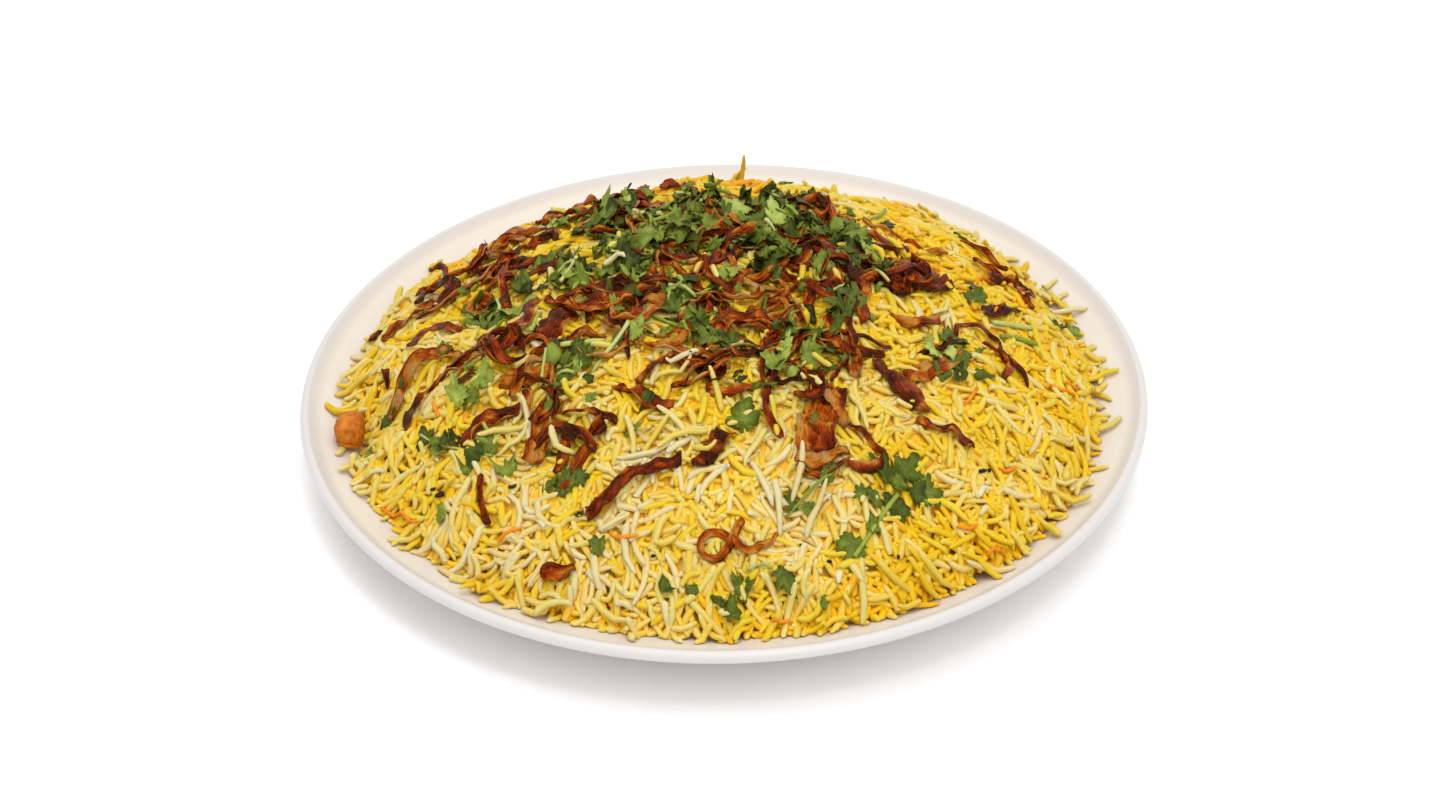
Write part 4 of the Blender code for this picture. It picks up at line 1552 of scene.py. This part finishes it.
def make_plate():
    """The plate, turned from its section: floor, wall, rounded lip, underside and a low foot."""
    wall = np.linspace(BASE_R, WALL_END_R, 20)
    section = [(0.0, BASE_FLOOR_Z), (30.0, BASE_FLOOR_Z), (60.0, BASE_FLOOR_Z)]
    section += [(r, plate_floor(r)) for r in wall]
    creamy = len(section) - 1
    for a in np.radians(np.linspace(120, -75, 12)):
        x, z = polar(LIP_R, a)
        section.append((PLATE_R - LIP_R + x, LIP_Z + z))
    section += [(r, plate_floor(r) - WALL_THICKNESS) for r in wall[-2:0:-1]]
    section += [(BASE_R + 0.6, 0.35), (BASE_R, 0.0), (BASE_R - 3.0, 0.0), (BASE_R - 3.8, 0.8), (0.0, 0.8)]
    inside = [1.0] * creamy + [0.4] + [0.0] * (len(section) - creamy - 1)
    angles = np.arange(PLATE_STEPS) / PLATE_STEPS * math.tau
    points = [(0.0, 0.0, section[0][1]), (0.0, 0.0, section[-1][1])]
    marks = [1.0, 0.0]
    for (r, z), mark in zip(section[1:-1], inside[1:-1]):
        points += [(*polar(r, a), z) for a in angles]
        marks += [mark] * PLATE_STEPS
    faces = []
    last = len(points) - PLATE_STEPS
    for i in range(PLATE_STEPS):
        j = (i + 1) % PLATE_STEPS
        faces += [(0, 2 + i, 2 + j), (1, last + j, last + i)]
        for k in range(2, last, PLATE_STEPS):
            faces.append((k + i, k + PLATE_STEPS + i, k + PLATE_STEPS + j, k + j))
    piece = make_piece("plate_turned", points, faces, plate_finish(), {"inside": marks})
    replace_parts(piece, "plate")


def make_camera():
    """The camera, in front of the plate and above it, rolled slightly."""
    lens = bpy.data.cameras.new("camera")
    lens.lens = 50.0
    lens.sensor_width = 36.0
    camera = add_object("camera", lens)
    camera.location = CAMERA_PLACE
    look = (Vector(CAMERA_AIM) - Vector(CAMERA_PLACE)).to_track_quat("-Z", "Y").to_matrix()
    camera.rotation_euler = (look @ Matrix.Rotation(math.radians(CAMERA_ROLL), 3, "Z")).to_euler()
    bpy.context.scene.camera = camera


def make_studio():
    """A white world, three round lamps and the floor."""
    world = bpy.data.worlds.new("studio")
    world.use_nodes = True
    sky = world.node_tree.nodes["Background"].inputs
    sky["Color"].default_value = (1.0, 1.0, 1.0, 1.0)
    sky["Strength"].default_value = 0.8
    bpy.context.scene.world = world
    for name, place, size, power in LIGHTS:
        lamp = bpy.data.lights.new(name, "AREA")
        lamp.shape = "DISK"
        lamp.size = size
        lamp.energy = power
        light = add_object(name, lamp)
        light.location = place
        light.rotation_euler = (Vector(LIGHTS_AIM) - Vector(place)).to_track_quat("-Z", "Y").to_euler()
    mesh = bpy.data.meshes.new("floor")
    corners = [(x * FLOOR_HALF, y * FLOOR_HALF, 0.0) for x, y in ((-1, -1), (1, -1), (1, 1), (-1, 1))]
    mesh.from_pydata(corners, [], [(0, 1, 2, 3)])
    mesh.materials.append(new_finish("studio_floor", Roughness=0.7, Base_Color=(0.97, 0.97, 0.97, 1.0))[0])
    add_object("floor", mesh)
    bpy.context.scene.view_settings.view_transform = "Standard"


def main():
    """Lays everything, each thing on what was laid before it, and sets up the studio."""
    chance = np.random.default_rng(RICE_SEED)
    ground = Ground()
    make_cashew(ground)
    lay_core(ground, chance)
    grains = Grains()
    pour_rice(ground, grains, chance, *PACKED_POUR)
    pour_rice(ground, grains, chance, *FILL_POUR)
    cover_core(ground, grains, chance)
    pour_rice(ground, grains, chance, *LOOSE_POUR)
    stray_rice(ground, grains, chance)
    ground.keep_rice_top()
    finish = onion_finish()
    lay_onions(ground, finish)
    lay_shreds(ground, finish, np.random.default_rng(SHREDS_SEED))
    lay_herbs(ground, np.random.default_rng(HERBS_SEED))
    scatter_over(ground, grains, chance)
    lay_orange(ground, chance)
    lay_specks(ground, chance)
    sort_grains(ground, grains, chance)
    make_rice(ground, grains, chance)
    make_core(ground)
    make_plate()
    make_camera()
    make_studio()


main()
